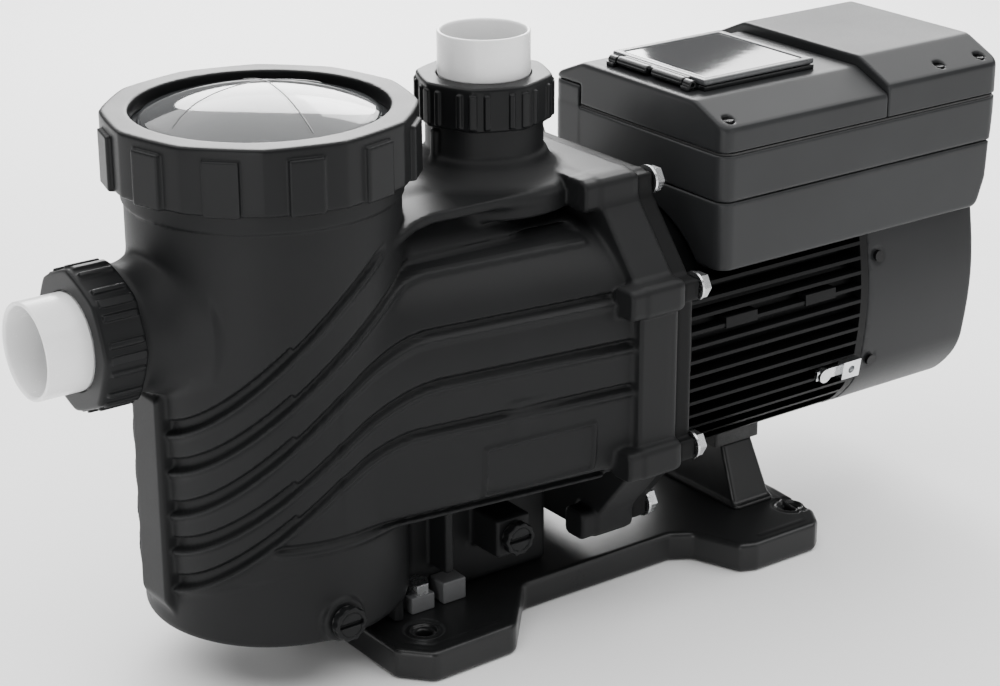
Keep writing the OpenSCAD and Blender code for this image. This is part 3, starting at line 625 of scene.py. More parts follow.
ROOF_PLAN = [(-22, 46), (-38, 57), (-60, 60), (-136, 58), (-152, 61), (-170, 69), (-190, 78), (-206, 83),
             (-228, 84)]
KEEL = [(-322, 203), (-322, 62), (-306, 38), (-250, 38), (-250, 209), (-316, 209)]


def wrap(b):
    """Distance along the side from the keel: round the pot, then straight on to the flange."""
    x = b.x - POT_X
    return np.arctan2(np.abs(b.y), -np.minimum(x, 0)) * POT_R + np.maximum(x, 0)


def side_relief(b):
    """How far the swept ribs, their grooves and the plain plaque's frame stand out of the side, in mm."""
    s = wrap(b)
    left = 1 - smoothstep((s - STEP_S) / 2 + 0.5)
    total = 0.0
    for i, (low, high, end, stop) in enumerate(RIBS):
        u = b.z - (low + (high - low) * smoothstep((s - RIB_START) / (end - RIB_START)))
        groove = band(u, RIB_HALF, GROOVE_END + 3.6 * left, 2.0) * (GROOVE_DEPTH + 0.5 * left)
        rib = (RIB_OUT + 0.7 * left) * np.exp(-(u / RIB_HALF) ** 2) - groove
        if i == 0:
            rib = rib * (1 - smoothstep((b.x + 200) / 14))
        total = total + rib * (1 - smoothstep((b.x - (FLANGE_X1 - stop - 6)) / 6))
    # A line along the foot of the side, and the slanting hem of the pot
    u = b.z - LOW_LINE
    from_pot = smoothstep((s - 84) / 10)
    to_flange = 1 - smoothstep((b.x - (BOSS_X0 - 6)) / 6)
    total = total + to_flange * from_pot * (2.0 * np.exp(-(u / 2.6) ** 2) - 1.8 * band(u, 2.8, 6.5, 1.8))
    hem = b.z - (70 + 22 * np.clip((s - 20) / 90, 0, 1))
    total = total + 0.8 * np.exp(-(hem / 2.0) ** 2) * (1 - smoothstep((s - 90) / 20))
    lean = PANEL_TILT * (b.x - PANEL_X)
    panel = square(b.x, b.z - lean, PANEL_X, PANEL_Z, PANEL_HALF_X, 3)
    panel = np.maximum(panel, np.abs(b.z - PANEL_Z - lean) - PANEL_HALF_Z)
    total = total + band(panel, -3.0, -0.8, 1.2) * 1.5
    return total * smoothstep((s - KEEL_SIDE) / 3)


def bolt_squares(b, half):
    """The eight rounded-square bosses around the flange bolts, seen along the shaft."""
    y, z = np.abs(b.y), np.abs(b.z - SHAFT_Z)
    return np.minimum(*[square(y, z, cy, cz, half, 5.0) for cy, cz in BOLTS])


def flange_section(b, shrink=0.0):
    """Octagon with a straight top and bottom and a boss for each bolt, seen along the shaft."""
    y, z = np.abs(b.y), np.abs(b.z - SHAFT_Z)
    corner = [(-200, -200), (121, -200), (121, 60), (73, 119), (66, 131.4), (-200, 131.4)]
    ring = outline(y, z, rounded(corner, [0, 0, 6, 4, 3, 0]))
    return join(ring, bolt_squares(b, LOBE), 3.0) + shrink


def lip_drop(b):
    """How far the roof sinks towards the pot."""
    return 9 * (1 - smoothstep((b.x + 204) / 70))


def side_shell(b):
    """The side: a shell that widens to the flange, full and flat below, rounded over at the top."""
    half_w = POT_SIDE + SIDE_FLARE * np.clip(b.x - POT_X, 0, None)
    over = np.maximum(b.z - SIDE_MID, 0) / (SIDE_TOP - SIDE_MID)
    under = np.maximum(SIDE_MID - b.z, 0) / (SIDE_MID - SIDE_LOW)
    reach = np.abs(b.y) / half_w
    upper = (reach ** 2.7 + over ** 2.7) ** (1 / 2.7)
    lower = (reach ** 9 + under ** 9) ** (1 / 9)
    shell = np.where(b.z > SIDE_MID, upper, lower) - 1
    return crossed(shell * 88, slab(b.x, POT_X, FLANGE_X1 - 10))


def roof_field(b):
    """The roof round the crown, which sinks towards the pot."""
    return crossed(outline(b.x, b.y, rounded(mirrored(ROOF_PLAN), 4)),
                   np.maximum(LIP_LOW - lip_drop(b) - b.z, b.z - ROOF_TOP + lip_drop(b)), 2.0)


def skirt_field(b):
    """The flared skirt of the discharge neck."""
    r = np.hypot(b.x - DISCHARGE_X, b.y)
    return crossed((r - SKIRT_R - 20 * np.clip((SKIRT_TOP - b.z) / 22, 0, 1) ** 1.6) * 0.8,
                   slab(b.z, 285, SKIRT_TOP), 1.5)


def flare_field(b):
    """The flare of the suction neck into the pot."""
    r = np.hypot(b.y, b.z - SUCTION_Z)
    return crossed((r - FLARE_R - 17 * np.clip((b.x + 334) / 34, 0, 1) ** 2) * 0.85,
                   slab(b.x, -336, -270), 2)


def body_field(b):
    """The wet end. Each blend and carve first names the corners of the region it works in."""
    field = rod(b.x - POT_X, b.y, POT_R, b.z, POT_BASE, POT_TOP, POT_EDGE)
    field = join(field, side_shell(b), 5)
    field = field - side_relief(b)

    def blend(low, high, shape, k):
        where, near = b.part(low, high)
        field[where] = join(field[where], shape(near), k)

    def carve(low, high, shape):
        where, near = b.part(low, high)
        field[where] = cut(field[where], shape(near))

    # Volute below the side shell, and the feet
    blend((-130, -110, 60), (20, 110, 180),
          lambda n: rod(n.y, n.z - SHAFT_Z, VOLUTE_R, n.x, VOLUTE_X0, FLANGE_X1 - 8, 12), 5)
    blend((-200, -56, 15), (-24, 56, 112), lambda n: brick(n, (-192, -34), (-44, 44), (BASE_TOP, 106), 3), 4)
    for x0, x1, z0 in ((-175, -168, BASE_TOP), (-134, -127, 46)):
        blend((x0 - 8, -70, 15), (x1 + 8, 70, 112),
              lambda n: brick(n, (x0, x1), (-64, 64), (z0, 104), 1.5), 3)
    # Crown of the water way, from the pot to the discharge, and the roof around it
    blend((-226, -80, 180), (-20, 80, 320), lambda n: rod(n.y, n.z - CROWN_Z, CROWN_R, n.x, -224, -58, 20), 8)
    blend((-240, -95, 255), (0, 95, 318), roof_field, 1.6)
    # Discharge neck: a flared skirt, a step, the port and a small key
    blend((-130, -75, 280), (22, 75, 326), skirt_field, 5)
    blend((-110, -60, 240), (0, 60, 330),
          lambda n: rod(n.x - DISCHARGE_X, n.y, STEP_R, n.z, 250, STEP_TOP, 1.5), 1.5)
    blend((-110, -56, 240), (0, 56, 366),
          lambda n: rod(n.x - DISCHARGE_X, n.y, PORT_R, n.z, 250, NUT_BASE_Z + PORT_RISE, 0.8), 2.5)
    blend((-110, -10, 300), (-88, 10, 345), lambda n: brick(n, (-97, -90), (-3, 3), (305, 338), 1.5), 2)
    # Suction neck, flared into the pot, and the keel below it
    blend((-360, -60, 190), (-270, 60, 312),
          lambda n: rod(n.y, n.z - SUCTION_Z, PORT_R, n.x, NUT_BACK_X - PORT_RISE, -280, 0.8), 2)
    blend((-345, -75, 180), (-270, 75, 325), flare_field, 3)
    keel = rounded(KEEL, [4, 10, 5, 0, 0, 6])
    blend((-330, -28, 25), (-240, 28, 220),
          lambda n: crossed(outline(n.x, n.z, keel), slab(n.y, -17, 17), 3.5), 2)
    # Collar under the lock ring, and the neck inside the ring
    blend((-330, -100, 305), (-125, 100, 342),
          lambda n: rod(n.x - POT_X, n.y, COLLAR_R, n.z, COLLAR_LOW, COLLAR_HIGH, 1.2), 1)
    blend((-330, -100, 325), (-125, 100, 366),
          lambda n: rod(n.x - POT_X, n.y, NECK_R, n.z, NECK_FOOT, NECK_TOP, 0.6), 0)
    # Flange, its bosses and its straight top
    blend((-24, -135, 35), (22, 135, 315),
          lambda n: crossed(flange_section(n), slab(n.x, FLANGE_X0, FLANGE_X1), 2.2), 4)
    blend((-38, -135, 35), (22, 135, 315),
          lambda n: crossed(bolt_squares(n, LOBE - 0.2), slab(n.x, BOSS_X0, FLANGE_X1 - 4), 2.5), 3)
    blend((-38, -80, 280), (22, 80, 315),
          lambda n: brick(n, (BOSS_X0 + 0.5, FLANGE_X1 - 2), (-70, 70), (288, 306.2), 2), 3)
    # Drain bosses: round on the pot, square on the volute
    blend((-260, -98, 30), (-206, -60, 80),
          lambda n: rod(n.x - POT_X + POT_PLUG_BACK, n.z - POT_PLUG_Z, PLUG_BOSS_R, n.y, -91.8, -70, 1.5), 4)
    blend((-108, -82, 42), (-60, -30, 90), lambda n: brick(n, (-98, -70), (-73.8, -30), (51, 79), 2), 3)

    # Hollows: strainer chamber, mouth, water ways, volute, eye, the space between the feet, drain holes
    # and the lid's seal groove
    carve((-320, -90, 40), (-135, 90, 322),
          lambda n: rod(n.x - POT_X, n.y, CHAMBER_R, n.z, CHAMBER_FLOOR, CHAMBER_TOP, 5))
    carve((-320, -90, 300), (-135, 90, 370), lambda n: rod(n.x - POT_X, n.y, MOUTH_R, n.z, 300, 380))
    carve((-370, -35, 215), (-270, 35, 285),
          lambda n: rod(n.y, n.z - SUCTION_Z, PORT_BORE, n.x, -380, -280))
    carve((-90, -35, 235), (-20, 35, 370), lambda n: rod(n.x - DISCHARGE_X, n.y, PORT_BORE, n.z, 240, 380))
    carve((-70, -106, 70), (22, 106, 282), lambda n: rod(n.y, n.z - SHAFT_Z, VOLUTE_BORE, n.x, BORE_X0, 30))
    carve((-175, -35, 140), (-55, 35, 210), lambda n: rod(n.y, n.z - SHAFT_Z, EYE_R, n.x, -175, -55))
    carve((-190, -44, 15), (-36, 44, 46), lambda n: brick(n, (-186, -40), (-38, 38), (10, 40), 3))
    carve((-250, -98, 40), (-216, -62, 70),
          lambda n: rod(n.x - POT_X + POT_PLUG_BACK, n.z - POT_PLUG_Z, PLUG_HOLE_R, n.y, -110, -70))
    carve((-100, -84, 50), (-68, -30, 80),
          lambda n: rod(n.x - VOLUTE_PLUG_X, n.z - VOLUTE_PLUG_Z, PLUG_HOLE_R, n.y, -90, -36))
    carve((-320, -92, 355), (-135, 92, 370),
          lambda n: crossed(slab(np.hypot(n.x - POT_X, n.y), 82.6, 87), slab(n.z, NECK_TOP - 3.4, 380)))
    return field


def build_pump_body():
    """The moulded wet end: pot, volute, necks and flange in one piece."""
    b = Block((-361, -131, 19), (FLANGE_X1 + 3, 131, NECK_TOP + 3), BODY_STEP)
    put(moulded("pump_body_shell", b, body_field(b), BODY_SHARE), "body_plastic", "root", "pump_body")


def build_bracket():
    """Bracket between the wet end and the motor: a flange, a barrel, a bearing hub and eight webs."""
    x0, x1 = FLANGE_X1 + 0.2, BRACKET_X1
    barrel_x1, hub_x1, hub_r, bearing_r, shaft_hole_r, webs = 46, 58, 36, 26, 14, 8
    b = Block((x0 - 3, -131, 41), (61, 131, 309), 1.6)
    field = crossed(flange_section(b, 3.4), slab(b.x, x0, x1), 1.8)
    field = join(field, rod(b.y, b.z - SHAFT_Z, BARREL_R, b.x, x1 - 2, barrel_x1, 1.5), 3)
    field = join(field, rod(b.y, b.z - SHAFT_Z, hub_r, b.x, x1 - 1, hub_x1, 1), 2)
    for i in range(webs):
        a = i * 2 * math.pi / webs
        along = b.y * math.cos(a) + (b.z - SHAFT_Z) * math.sin(a)
        across = -b.y * math.sin(a) + (b.z - SHAFT_Z) * math.cos(a)
        web = overlap(np.abs(across) - 3, slab(along, 60, 104), slab(b.x, x1 - 1, barrel_x1))
        field = join(field, web, 2)
    field = cut(field, np.hypot(b.y, b.z - SHAFT_Z) - shaft_hole_r)
    field = cut(field, rod(b.y, b.z - SHAFT_Z, bearing_r, b.x, 42, 70))
    # The bracket gets a darker copy of the body plastic: painted shade.
    put(moulded("motor_bracket_casting", b, field, 0.5),
        "bracket_plastic", "root", "motor_bracket", slot="body_plastic")


# ------------------------------------------------------------------ ring, unions and lid

RING_Z0, RING_Z1 = span("lid_lock_ring", 2)
RING_R, RING_SIDES, RING_BORE, LIP_R = 102.3, 12, 90.4, 82.5
PAD_HALF, PAD_OUT, PAD_H = 11.4, 2.9, 35.6


def polygon_reach(u, v, sides, corner_r):
    """Distance outside a regular polygon with a corner on the u axis, and distance along its side."""
    apothem = corner_r * math.cos(math.pi / sides)
    angle = np.arctan2(v, u) - math.pi / sides
    step = 2 * math.pi / sides
    local = angle - step * np.round(angle / step)
    radius = np.hypot(u, v)
    return radius * np.cos(local) - apothem, radius * np.sin(local)


def build_lock_ring():
    """Twelve-sided ring with softened corners and a grip pad on each side."""
    b = Block((POT_X - 106, -106, RING_Z0 - 2.4), (POT_X + 106, 106, RING_Z1 + 2.4), 1.2)
    u, v = b.x - POT_X, b.y
    radius = np.hypot(u, v)
    reach, across = polygon_reach(u, v, RING_SIDES, RING_R)
    corner = common(reach, radius - (RING_R - 0.9), 5)
    field = crossed(corner, slab(b.z, RING_Z0, RING_Z1), 2.0)
    pad = crossed(overlap(slab(across, -PAD_HALF, PAD_HALF), reach - PAD_OUT),
                  slab(b.z, RING_Z0, RING_Z0 + PAD_H), 0.9)
    field = join(field, pad, 1.0)
    field = cut(field, overlap(radius - RING_BORE, b.z - (NECK_TOP + 5)))
    field = cut(field, radius - LIP_R, 0.8)
    put(moulded("lock_ring_moulding", b, field, 0.6), "ring_plastic", "lock_ring", "lid_lock_ring")


LID_SEAMS = [[(-68, -9), (-58, -1), (-40, 10), (-24, 16), (-5, 21.5), (20, 25.4), (48, 26), (64, 24)],
             [(23, 62), (21.5, 42), (19.7, 25.4), (13, 1.7), (7.3, -22.5), (2, -44.7), (-2, -62), (-4, -70)]]


def build_lid():
    """Clear domed lid: one closed revolved profile with a flat rim, a step and a crown."""
    z0, z1 = span("strainer_lid", 2)
    rim, top, wall = 89.2, z0 + 4.4, 3.4
    crown_r, shoulder = 75.6, z1 - 13.6
    ball = (crown_r ** 2 + (z1 - shoulder) ** 2) / (2 * (z1 - shoulder))
    outer = [(crown_r * t, z1 - ball + math.sqrt(ball ** 2 - (crown_r * t) ** 2))
             for t in np.linspace(0, 0.985, 40)]
    inner = [(r * (crown_r - wall) / crown_r, z - wall) for r, z in reversed(outer)]
    profile = outer + [(75.9, shoulder - 0.4), (76.4, shoulder - 1.6), (76.8, top + 1.4), (77.6, top + 0.3),
                       (78.6, top), (rim - 1.2, top), (rim - 0.3, top - 0.4), (rim, top - 1.3), (rim, z0 + 1),
                       (rim - 0.4, z0 + 0.3), (rim - 1.2, z0), (74.2, z0), (73.4, z0 + 0.6)] + inner
    piece = revolved("lid_dome", profile[::-1], (POT_X, 0, 0), sides=192)
    put(piece, "lid_clear", "lid", "strainer_lid")
    # Two moulded strengthening seams that run over the crown, coloured dark and opaque: painted shade for the
    # dark lines across the dome's reflection
    seams = []
    for stops in LID_SEAMS:
        path = []
        for (ax, ay), (bx, by) in zip(stops, stops[1:]):
            for t in np.linspace(0, 1, 12, endpoint=False):
                px, py = ax + (bx - ax) * t, ay + (by - ay) * t
                path.append((POT_X + px, py, z1 - ball + math.sqrt(ball ** 2 - px ** 2 - py ** 2) - 0.3))
        seams.append(path)
    put(wire("lid_seams", seams, 0.7), "lid_seam", "lid", slot="lid_clear")


def wire(name, paths, radius, sides=8):
    """Round bars of one radius along paths of points, with closed ends."""
    verts, faces = [], []
    for path in paths:
        points = [Vector(p) for p in path]
        start = len(verts)
        for i, p in enumerate(points):
            ahead = points[min(i + 1, len(points) - 1)] - points[max(i - 1, 0)]
            side = ahead.normalized().cross(Vector((0, 0, 1))).normalized()
            up = side.cross(ahead.normalized())
            taper = radius * min(1.0, 0.25 + 0.25 * min(i, len(points) - 1 - i))
            for k in range(sides):
                a = 2 * math.pi * k / sides
                verts.append(p + (side * math.cos(a) + up * math.sin(a)) * taper)
        for i in range(len(points) - 1):
            for k in range(sides):
                m = (k + 1) % sides
                row = start + i * sides
                faces.append((row + k, row + m, row + sides + m, row + sides + k))
        faces.append(tuple(start + k for k in reversed(range(sides))))
        faces.append(tuple(start + (len(points) - 1) * sides + k for k in range(sides)))
    return mesh_object(name, np.array([tuple(v) for v in verts]), faces)


NUT_R, NUT_SIDES, NUT_BORE, NUT_MOUTH, NUT_STEP = 47.9, 8, 40.4, 31.9, 0.85


def nut_field(u, v, h):
    """Union nut standing on h = 0: an octagon with softened corners, two ribs on each side and a pad
    on each corner."""
    reach, across = polygon_reach(u, v, NUT_SIDES, NUT_R)
    radius, grip = np.hypot(u, v), slab(h, 2.6, NUT_H - 4.4)
    field = crossed(common(reach, radius - (NUT_R - 0.7), 4), slab(h, 0, NUT_H), 2.4)
    ribs = crossed(overlap(slab(np.abs(across), 6.6, 10.4), reach - 1.9), grip, 0.9)
    ribs = join(ribs, crossed(overlap(slab(np.abs(across), 15.4, 30), reach - 0.8), grip, 0.8), 0.5)
    field = join(field, overlap(ribs, radius - (NUT_R - 0.3)), 0.8)
    field = cut(field, overlap(radius - NUT_BORE, h - (NUT_H - 4.5)))
    return cut(field, radius - NUT_MOUTH, 1.0)


def build_nuts():
    """Both union nuts: one field, stood upright on the discharge and on its side on the suction."""
    m = 50
    b = Block((DISCHARGE_X - m, -m, NUT_BASE_Z - 2), (DISCHARGE_X + m, m, NUT_BASE_Z + NUT_H + 2), NUT_STEP)
    field = nut_field(b.x - DISCHARGE_X, b.y, b.z - NUT_BASE_Z)
    put(moulded("discharge_nut_moulding", b, field, 0.6),
        "ring_plastic", "discharge_nut", "discharge_union_nut")
    b = Block((NUT_BACK_X - NUT_H - 2, -m, SUCTION_Z - m), (NUT_BACK_X + 2, m, SUCTION_Z + m), NUT_STEP)
    field = nut_field(b.z - SUCTION_Z, b.y, NUT_BACK_X - b.x)
    put(moulded("suction_nut_moulding", b, field, 0.6), "ring_plastic", "suction_nut", "suction_union_nut")


def build_tailpieces():
    """White pipe stubs with a flange inside the nut and rounded mouths."""
    for name, node, body, axis, length in (
            ("discharge_stub", "discharge_tailpiece", "discharge_tail", "z",
             span("discharge_tailpiece", 2)[1] - NUT_BASE_Z),
            ("suction_stub", "suction_tailpiece", "suction_tail", "-x",
             NUT_BACK_X - span("suction_tailpiece", 0)[0])):
        z0 = PORT_RISE + 0.5
        bore, neck, pipe, flange = PORT_BORE, 30.5, 31.5, 39.1
        profile = [(bore, z0), (bore, length - 2.2), (bore + 0.2, length - 1.0), (bore + 0.8, length - 0.3),
                   (bore + 1.4, length), (pipe - 0.8, length), (pipe - 0.3, length - 0.3),
                   (pipe, length - 1.0), (pipe, NUT_H + 0.5), (pipe - 0.5, NUT_H - 0.4),
                   (neck, NUT_H - 0.6), (neck, z0 + 6.6), (pipe - 0.3, z0 + 6), (flange - 0.5, z0 + 6),
                   (flange, z0 + 5.5), (flange, z0 + 0.4), (flange - 0.4, z0)]
        centre = (DISCHARGE_X, 0, NUT_BASE_Z) if axis == "z" else (NUT_BACK_X, 0, SUCTION_Z)
        piece = revolved(name, profile[::-1], centre, axis, 128)
        put(piece, "pvc_white", body, node)


# ------------------------------------------------------------------ drain plugs

PLUG_R, PLUG_LOBES, THREAD_R, THREAD_PITCH = 11.5, 10, 7.3, 2.2


def build_plugs():
    """Screwed plugs with a lobed head, a raised rim, a driver slot and a thread."""
    for node, body in (("strainer_drain_plug", "pot_plug"), ("volute_drain_plug", "volute_plug")):
        x, z = middle(node, 0), middle(node, 2)
        face, tail = span(node, 1)
        b = Block((x - 14, face - 1.6, z - 14), (x + 14, tail + 1.6, z + 14), 0.6)
        u, v, out = b.x - x, b.z - z, b.y - face
        radius = np.hypot(u, v)
        lobes = radius - PLUG_R - 0.5 * np.cos(PLUG_LOBES * np.arctan2(v, u))
        field = crossed(lobes, slab(out, 0, 6.6), 1.1)
        field = cut(field, rod(u, v, 8.6, out, -2, 1.2), 0.6)
        bar = crossed(overlap(slab(u, -7.6, 7.6), radius - 8.2), slab(out, 0.2, 2), 0.4)
        field = join(field, bar, 0.3)
        field = cut(field, overlap(slab(v, -1.6, 1.6), slab(u, -9, 9), out - 3.4), 0.3)
        thread = radius - THREAD_R - 0.35 * np.sin(2 * math.pi * out / THREAD_PITCH)
        field = join(field, overlap(thread, slab(out, 5, tail - face)), 0.3)
        put(moulded(node + "_moulding", b, field, 0.7), "ring_plastic", body, node)


# ------------------------------------------------------------------ base

BASE_HALF = [(178, 52), (174, 98), (165, 112), (158, 117), (102, 117), (90, 112), (76, 76), (62, 67),
             (-71, 67), (-111, 113), (-178, 115), (-196.5, 94)]
BASE_CORNERS = [11, 11, 5, 5, 5, 5, 7, 7, 11, 11, 9, 10]
HOLE_DX, HOLE_DY, HOLE_R = 330.0, 164.0, 5.5
RING_OUT, RING_TOP, RING_IN = 13.5, 10.5, 8.6


def build_base():
    """Waisted foot plate: a rounded top edge, ringed holes, pockets below and a low kerb at each end."""
    low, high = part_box("base_plate")
    b = Block((low.x / MM - 3, low.y / MM - 3, -3), (high.x / MM + 3, high.y / MM + 3, BASE_TOP + 3), 1.2)
    edge = outline(b.x, b.y, rounded(mirrored(BASE_HALF), BASE_CORNERS + BASE_CORNERS[::-1]))
    field = crossed(edge, slab(b.z, 0, BASE_TOP), 3.6)
    u, v = np.abs(b.x) - HOLE_DX / 2, np.abs(b.y) - HOLE_DY / 2
    radius = np.hypot(u, v)
    field = cut(field, overlap(radius - RING_OUT, BASE_TOP - 1.2 - b.z), 0.8)
    field = join(field, overlap(radius - RING_TOP, slab(b.z, 4, BASE_TOP - 0.1)), 0.5)
    field = cut(field, overlap(radius - RING_IN, BASE_TOP - 2.4 - b.z), 0.5)
    field = cut(field, radius - HOLE_R, 0.4)
    for x0 in (-60, -30, 0, 30):
        field = cut(field, overlap(slab(b.x, x0, x0 + 24), slab(b.y, -50, 50), b.z - (BASE_TOP - 6)))
    for end in (-1, 1):
        kerb = overlap(np.abs(edge + 10) - 1.1, slab(b.z, 4, BASE_TOP), 112 - end * b.x)
        field = join(field, kerb, 1.0)
    bolt_x, bolt_y = middle("foot_bolts", 0), span("foot_bolts", 1)[1] - 9.0
    field = cut(field, np.hypot(b.x - bolt_x, np.abs(b.y) - bolt_y) - 4.3)
    put(moulded("base_moulding", b, field, 0.45), "base_plastic", "root", "base_plate")


def build_pedestal():
    """Motor foot: a low skirt and a tapering column with soft edges."""
    x0, x1 = span("motor_pedestal", 0)
    top = span("motor_pedestal", 2)[1]
    mid = (x0 + x1) / 2
    b = Block((x0 - 2.4, -71, BASE_TOP - 2), (x1 + 2.4, 71, top + 2), 1.0)
    rise = np.clip((b.z - BASE_TOP) / (top - BASE_TOP), 0, 1)
    half_y = 44 + 20 * (1 - rise)
    half_x = 14.4 + 3.6 * (1 - rise)
    column = crossed((np.abs(b.y) - half_y) * 0.88, np.abs(b.x - mid) - half_x, 3.0)
    field = crossed(column, slab(b.z, BASE_TOP, top), 1.4)
    skirt = crossed(np.abs(b.y) - 66.5, np.abs(b.x - mid) - 18, 4)
    field = join(field, crossed(skirt, slab(b.z, BASE_TOP, BASE_TOP + 2.5), 1.0), 4)
    put(moulded("pedestal_moulding", b, field, 0.5), "base_plastic", "root", "motor_pedestal")


# ------------------------------------------------------------------ controller

BOX_X0, BOX_X1 = span("controller_base", 0)[0], span("rear_cover", 0)[1]
BOX_HALF = span("controller_base", 1)[1]
BOX_Z0, MID_Z = span("controller_base", 2)
SEAM_LOW, SEAM_HIGH = span("cover_gasket", 2)
SPLIT_X = span("rear_cover", 0)[0]
FRONT_TOP = span("front_cover", 2)[1]
REAR_TOP = span("rear_cover", 2)[1]
FLAT_HALF, SIDE_TOP_EDGE = 61.6, 328.0
SADDLE_R, BOX_CORNER_R, COVER_WALL, BOX_STEP = 86.5, 11, 3.0, 1.25
SCREW_Y, SCREW_TOP = 85.0, span("cover_screws", 2)[1]
SCREWS = [(89.0, SCREW_TOP - 5.8), (290.0, SCREW_TOP), (331.0, SCREW_TOP)]


def box_plan(b, inset=0.0, rear=None):
    """Outline of the controller from above."""
    rear = BOX_X1 if rear is None else rear
    return crossed(slab(b.x, BOX_X0 + inset, rear - inset), slab(b.y, -BOX_HALF + inset, BOX_HALF - inset),
                   BOX_CORNER_R - inset / 2)


def box_rear(b):
    """Leaning rear face with a rounded lower corner, seen from the side."""
    points = [(0, BOX_Z0), (BOX_X1 - 17, BOX_Z0), (BOX_X1 - 9, BOX_Z0 + 22), (BOX_X1 - 7, MID_Z),
              (BOX_X1, SEAM_HIGH), (BOX_X1, 420), (0, 420)]
    return outline(b.x, b.z, rounded(points, [0, 9, 6, 0, 0, 0, 0]))


def build_controller_base():
    """Saddle of the controller: a tray with a hollow below it that fits over the motor."""
    b = padded((BOX_X0, -BOX_HALF, BOX_Z0), (BOX_X1, BOX_HALF, MID_Z), BOX_STEP)
    field = crossed(common(box_plan(b), box_rear(b), 3), slab(b.z, BOX_Z0, MID_Z - 0.15), 0.8)
    field = cut(field, np.hypot(b.y, b.z - SHAFT_Z) - SADDLE_R, 1.2)
    field = cut(field, overlap(slab(b.x, 100, 318), slab(b.y, -72, 72), 265 - b.z))
    field = cut(field, overlap(slab(b.x, 84, 318), slab(np.abs(b.y), 77, 90), BOX_Z0 + 6 - b.z))
    put(moulded("controller_tray", b, field, 0.4), "box_paint", "root", "controller_base")


def far_block(b, grow=0.0):
    """Raised corner of the housing behind the front cover, on the side away from the drains."""
    return square(b.x, b.y, 60, 106.5, 43 + grow, 5)


def build_housing():
    """Middle band of the controller, with the raised corner that rises beside the front cover."""
    b = padded((BOX_X0, -BOX_HALF, MID_Z), (BOX_X1, BOX_HALF, SEAM_LOW + 17), BOX_STEP)
    shell = crossed(common(box_plan(b), box_rear(b), 2), slab(b.z, MID_Z + 0.15, SEAM_LOW), 0.8)
    corner = crossed(common(far_block(b), box_plan(b), 1), slab(b.z, MID_Z + 4, SEAM_LOW + 16), 2.2)
    field = join(shell, corner, 0.8)
    field = cut(field, box_plan(b, 4, BOX_X1 - 9))
    put(moulded("controller_housing_shell", b, field, 0.4), "box_paint", "root", "controller_housing")


def cover_section(b, top, edge, inset=0.0):
    """A cover seen from its end: flat top, sloped shoulders with soft edges, upright sides."""
    half = BOX_HALF - inset
    points = [(-half, 280), (half, 280), (half, edge - inset), (FLAT_HALF, top - inset),
              (-FLAT_HALF, top - inset), (-half, edge - inset)]
    return outline(b.y, b.z, rounded(points, [0, 0, 5, 14, 14, 5]))


def build_cover(name, node, x0, x1, top, edge, screws):
    """One cover of the controller, hollow, with its screw wells; the front one has the window."""
    b = padded((x0, -BOX_HALF, SEAM_HIGH), (x1, BOX_HALF, top), 1.2)
    ends = slab(b.x, x0, x1)
    outer = crossed(crossed(cover_section(b, top, edge), box_plan(b), 3.4), ends, 1.3)
    outer = crossed(outer, SEAM_HIGH + 0.3 - b.z, 0.6)
    inner = common(common(cover_section(b, top, edge, COVER_WALL), box_plan(b, COVER_WALL)),
                   slab(b.x, x0 + COVER_WALL, x1 - COVER_WALL))
    field = cut(outer, inner)
    field = cut(field, common(far_block(b, 0.8), b.z - (SEAM_LOW + 17)), 0.8)
    for x, z in screws:
        for y in (-SCREW_Y, SCREW_Y):
            field = cut(field, rod(b.x - x, b.y - y, 4.3, b.z, z - 2.6, z + 30), 0.6)
    if node == "front_cover":
        x_low, x_high = span("display_screen", 0)
        window = brick(b, (x_low - 1, x_high + 1), (-40, 40), (FRONT_TOP - 5, FRONT_TOP + 5), 1)
        field = cut(field, window, 0.8)
    put(moulded(name, b, field, 0.4), "box_paint", "root", node)


def build_flap():
    """Flap: a pale rim, a paler copy of the bezel plastic as a painted highlight, around a dark glossy pane,
    with knuckles on the hinge side.
    """
    x1 = span("display_bezel", 0)[1]
    x0 = x1 - 102
    z0, z1 = span("display_flap", 2)
    hinge_x, half = span("display_flap", 0)[0] + 3.4, 51.0
    b = Block((hinge_x - 6, -half - 2, z0 - 5), (x1 + 2, half + 2, z1 + 2), 0.7)
    rim = brick(b, (x0, x1), (-half, half), (z1 - 4.4, z1), 1.3)
    field = cut(rim, overlap(slab(b.x, x0 + 6, x1 - 6), slab(b.y, -half + 6, half - 6)), 0.4)
    # The rim is coloured paler than the bezel plastic it is made of: a painted highlight.
    put(moulded("flap_rim", b, field, 0.35), "flap_rim", "flap", slot="bezel_plastic")
    arm = brick(b, (hinge_x, x0 + 3), (-36, 36), (z1 - 3.8, z1 - 0.6), 1.0)
    knuckle = crossed(np.hypot(b.x - hinge_x, b.z - middle("display_flap", 2)) - 3.3,
                      slab(np.abs(b.y), 3, 35.6), 0.6)
    put(moulded("flap_hinge", b, join(arm, knuckle, 1.5), 0.35), "bezel_plastic", "flap")
    pane = brick(b, (x0 + 5.6, x1 - 5.6), (-half + 5.6, half - 5.6), (z1 - 2.8, z1 - 0.7), 0.6)
    put(moulded("flap_pane", b, pane, 0.2), "flap_gloss", "flap", "display_flap")


# ------------------------------------------------------------------ motor

MOTOR_HALF = span("motor_frame", 1)[1] - 0.8
COWL_X0, COWL_X1 = span("fan_cowl", 0)
BARREL_R, CORNER_R = 84.0, 42.0
BOW_FROM, BOW_FULL, BOW_DEPTH, BOW_RATE = 45.0, 88.0, 16.0, 0.000156
BOW_CUT = 9.0
COWL_WALL, COWL_SCREW_DZ, SPOKES, SLOT_W, SLOT_PITCH = 2.6, 41, 8, 5, 10


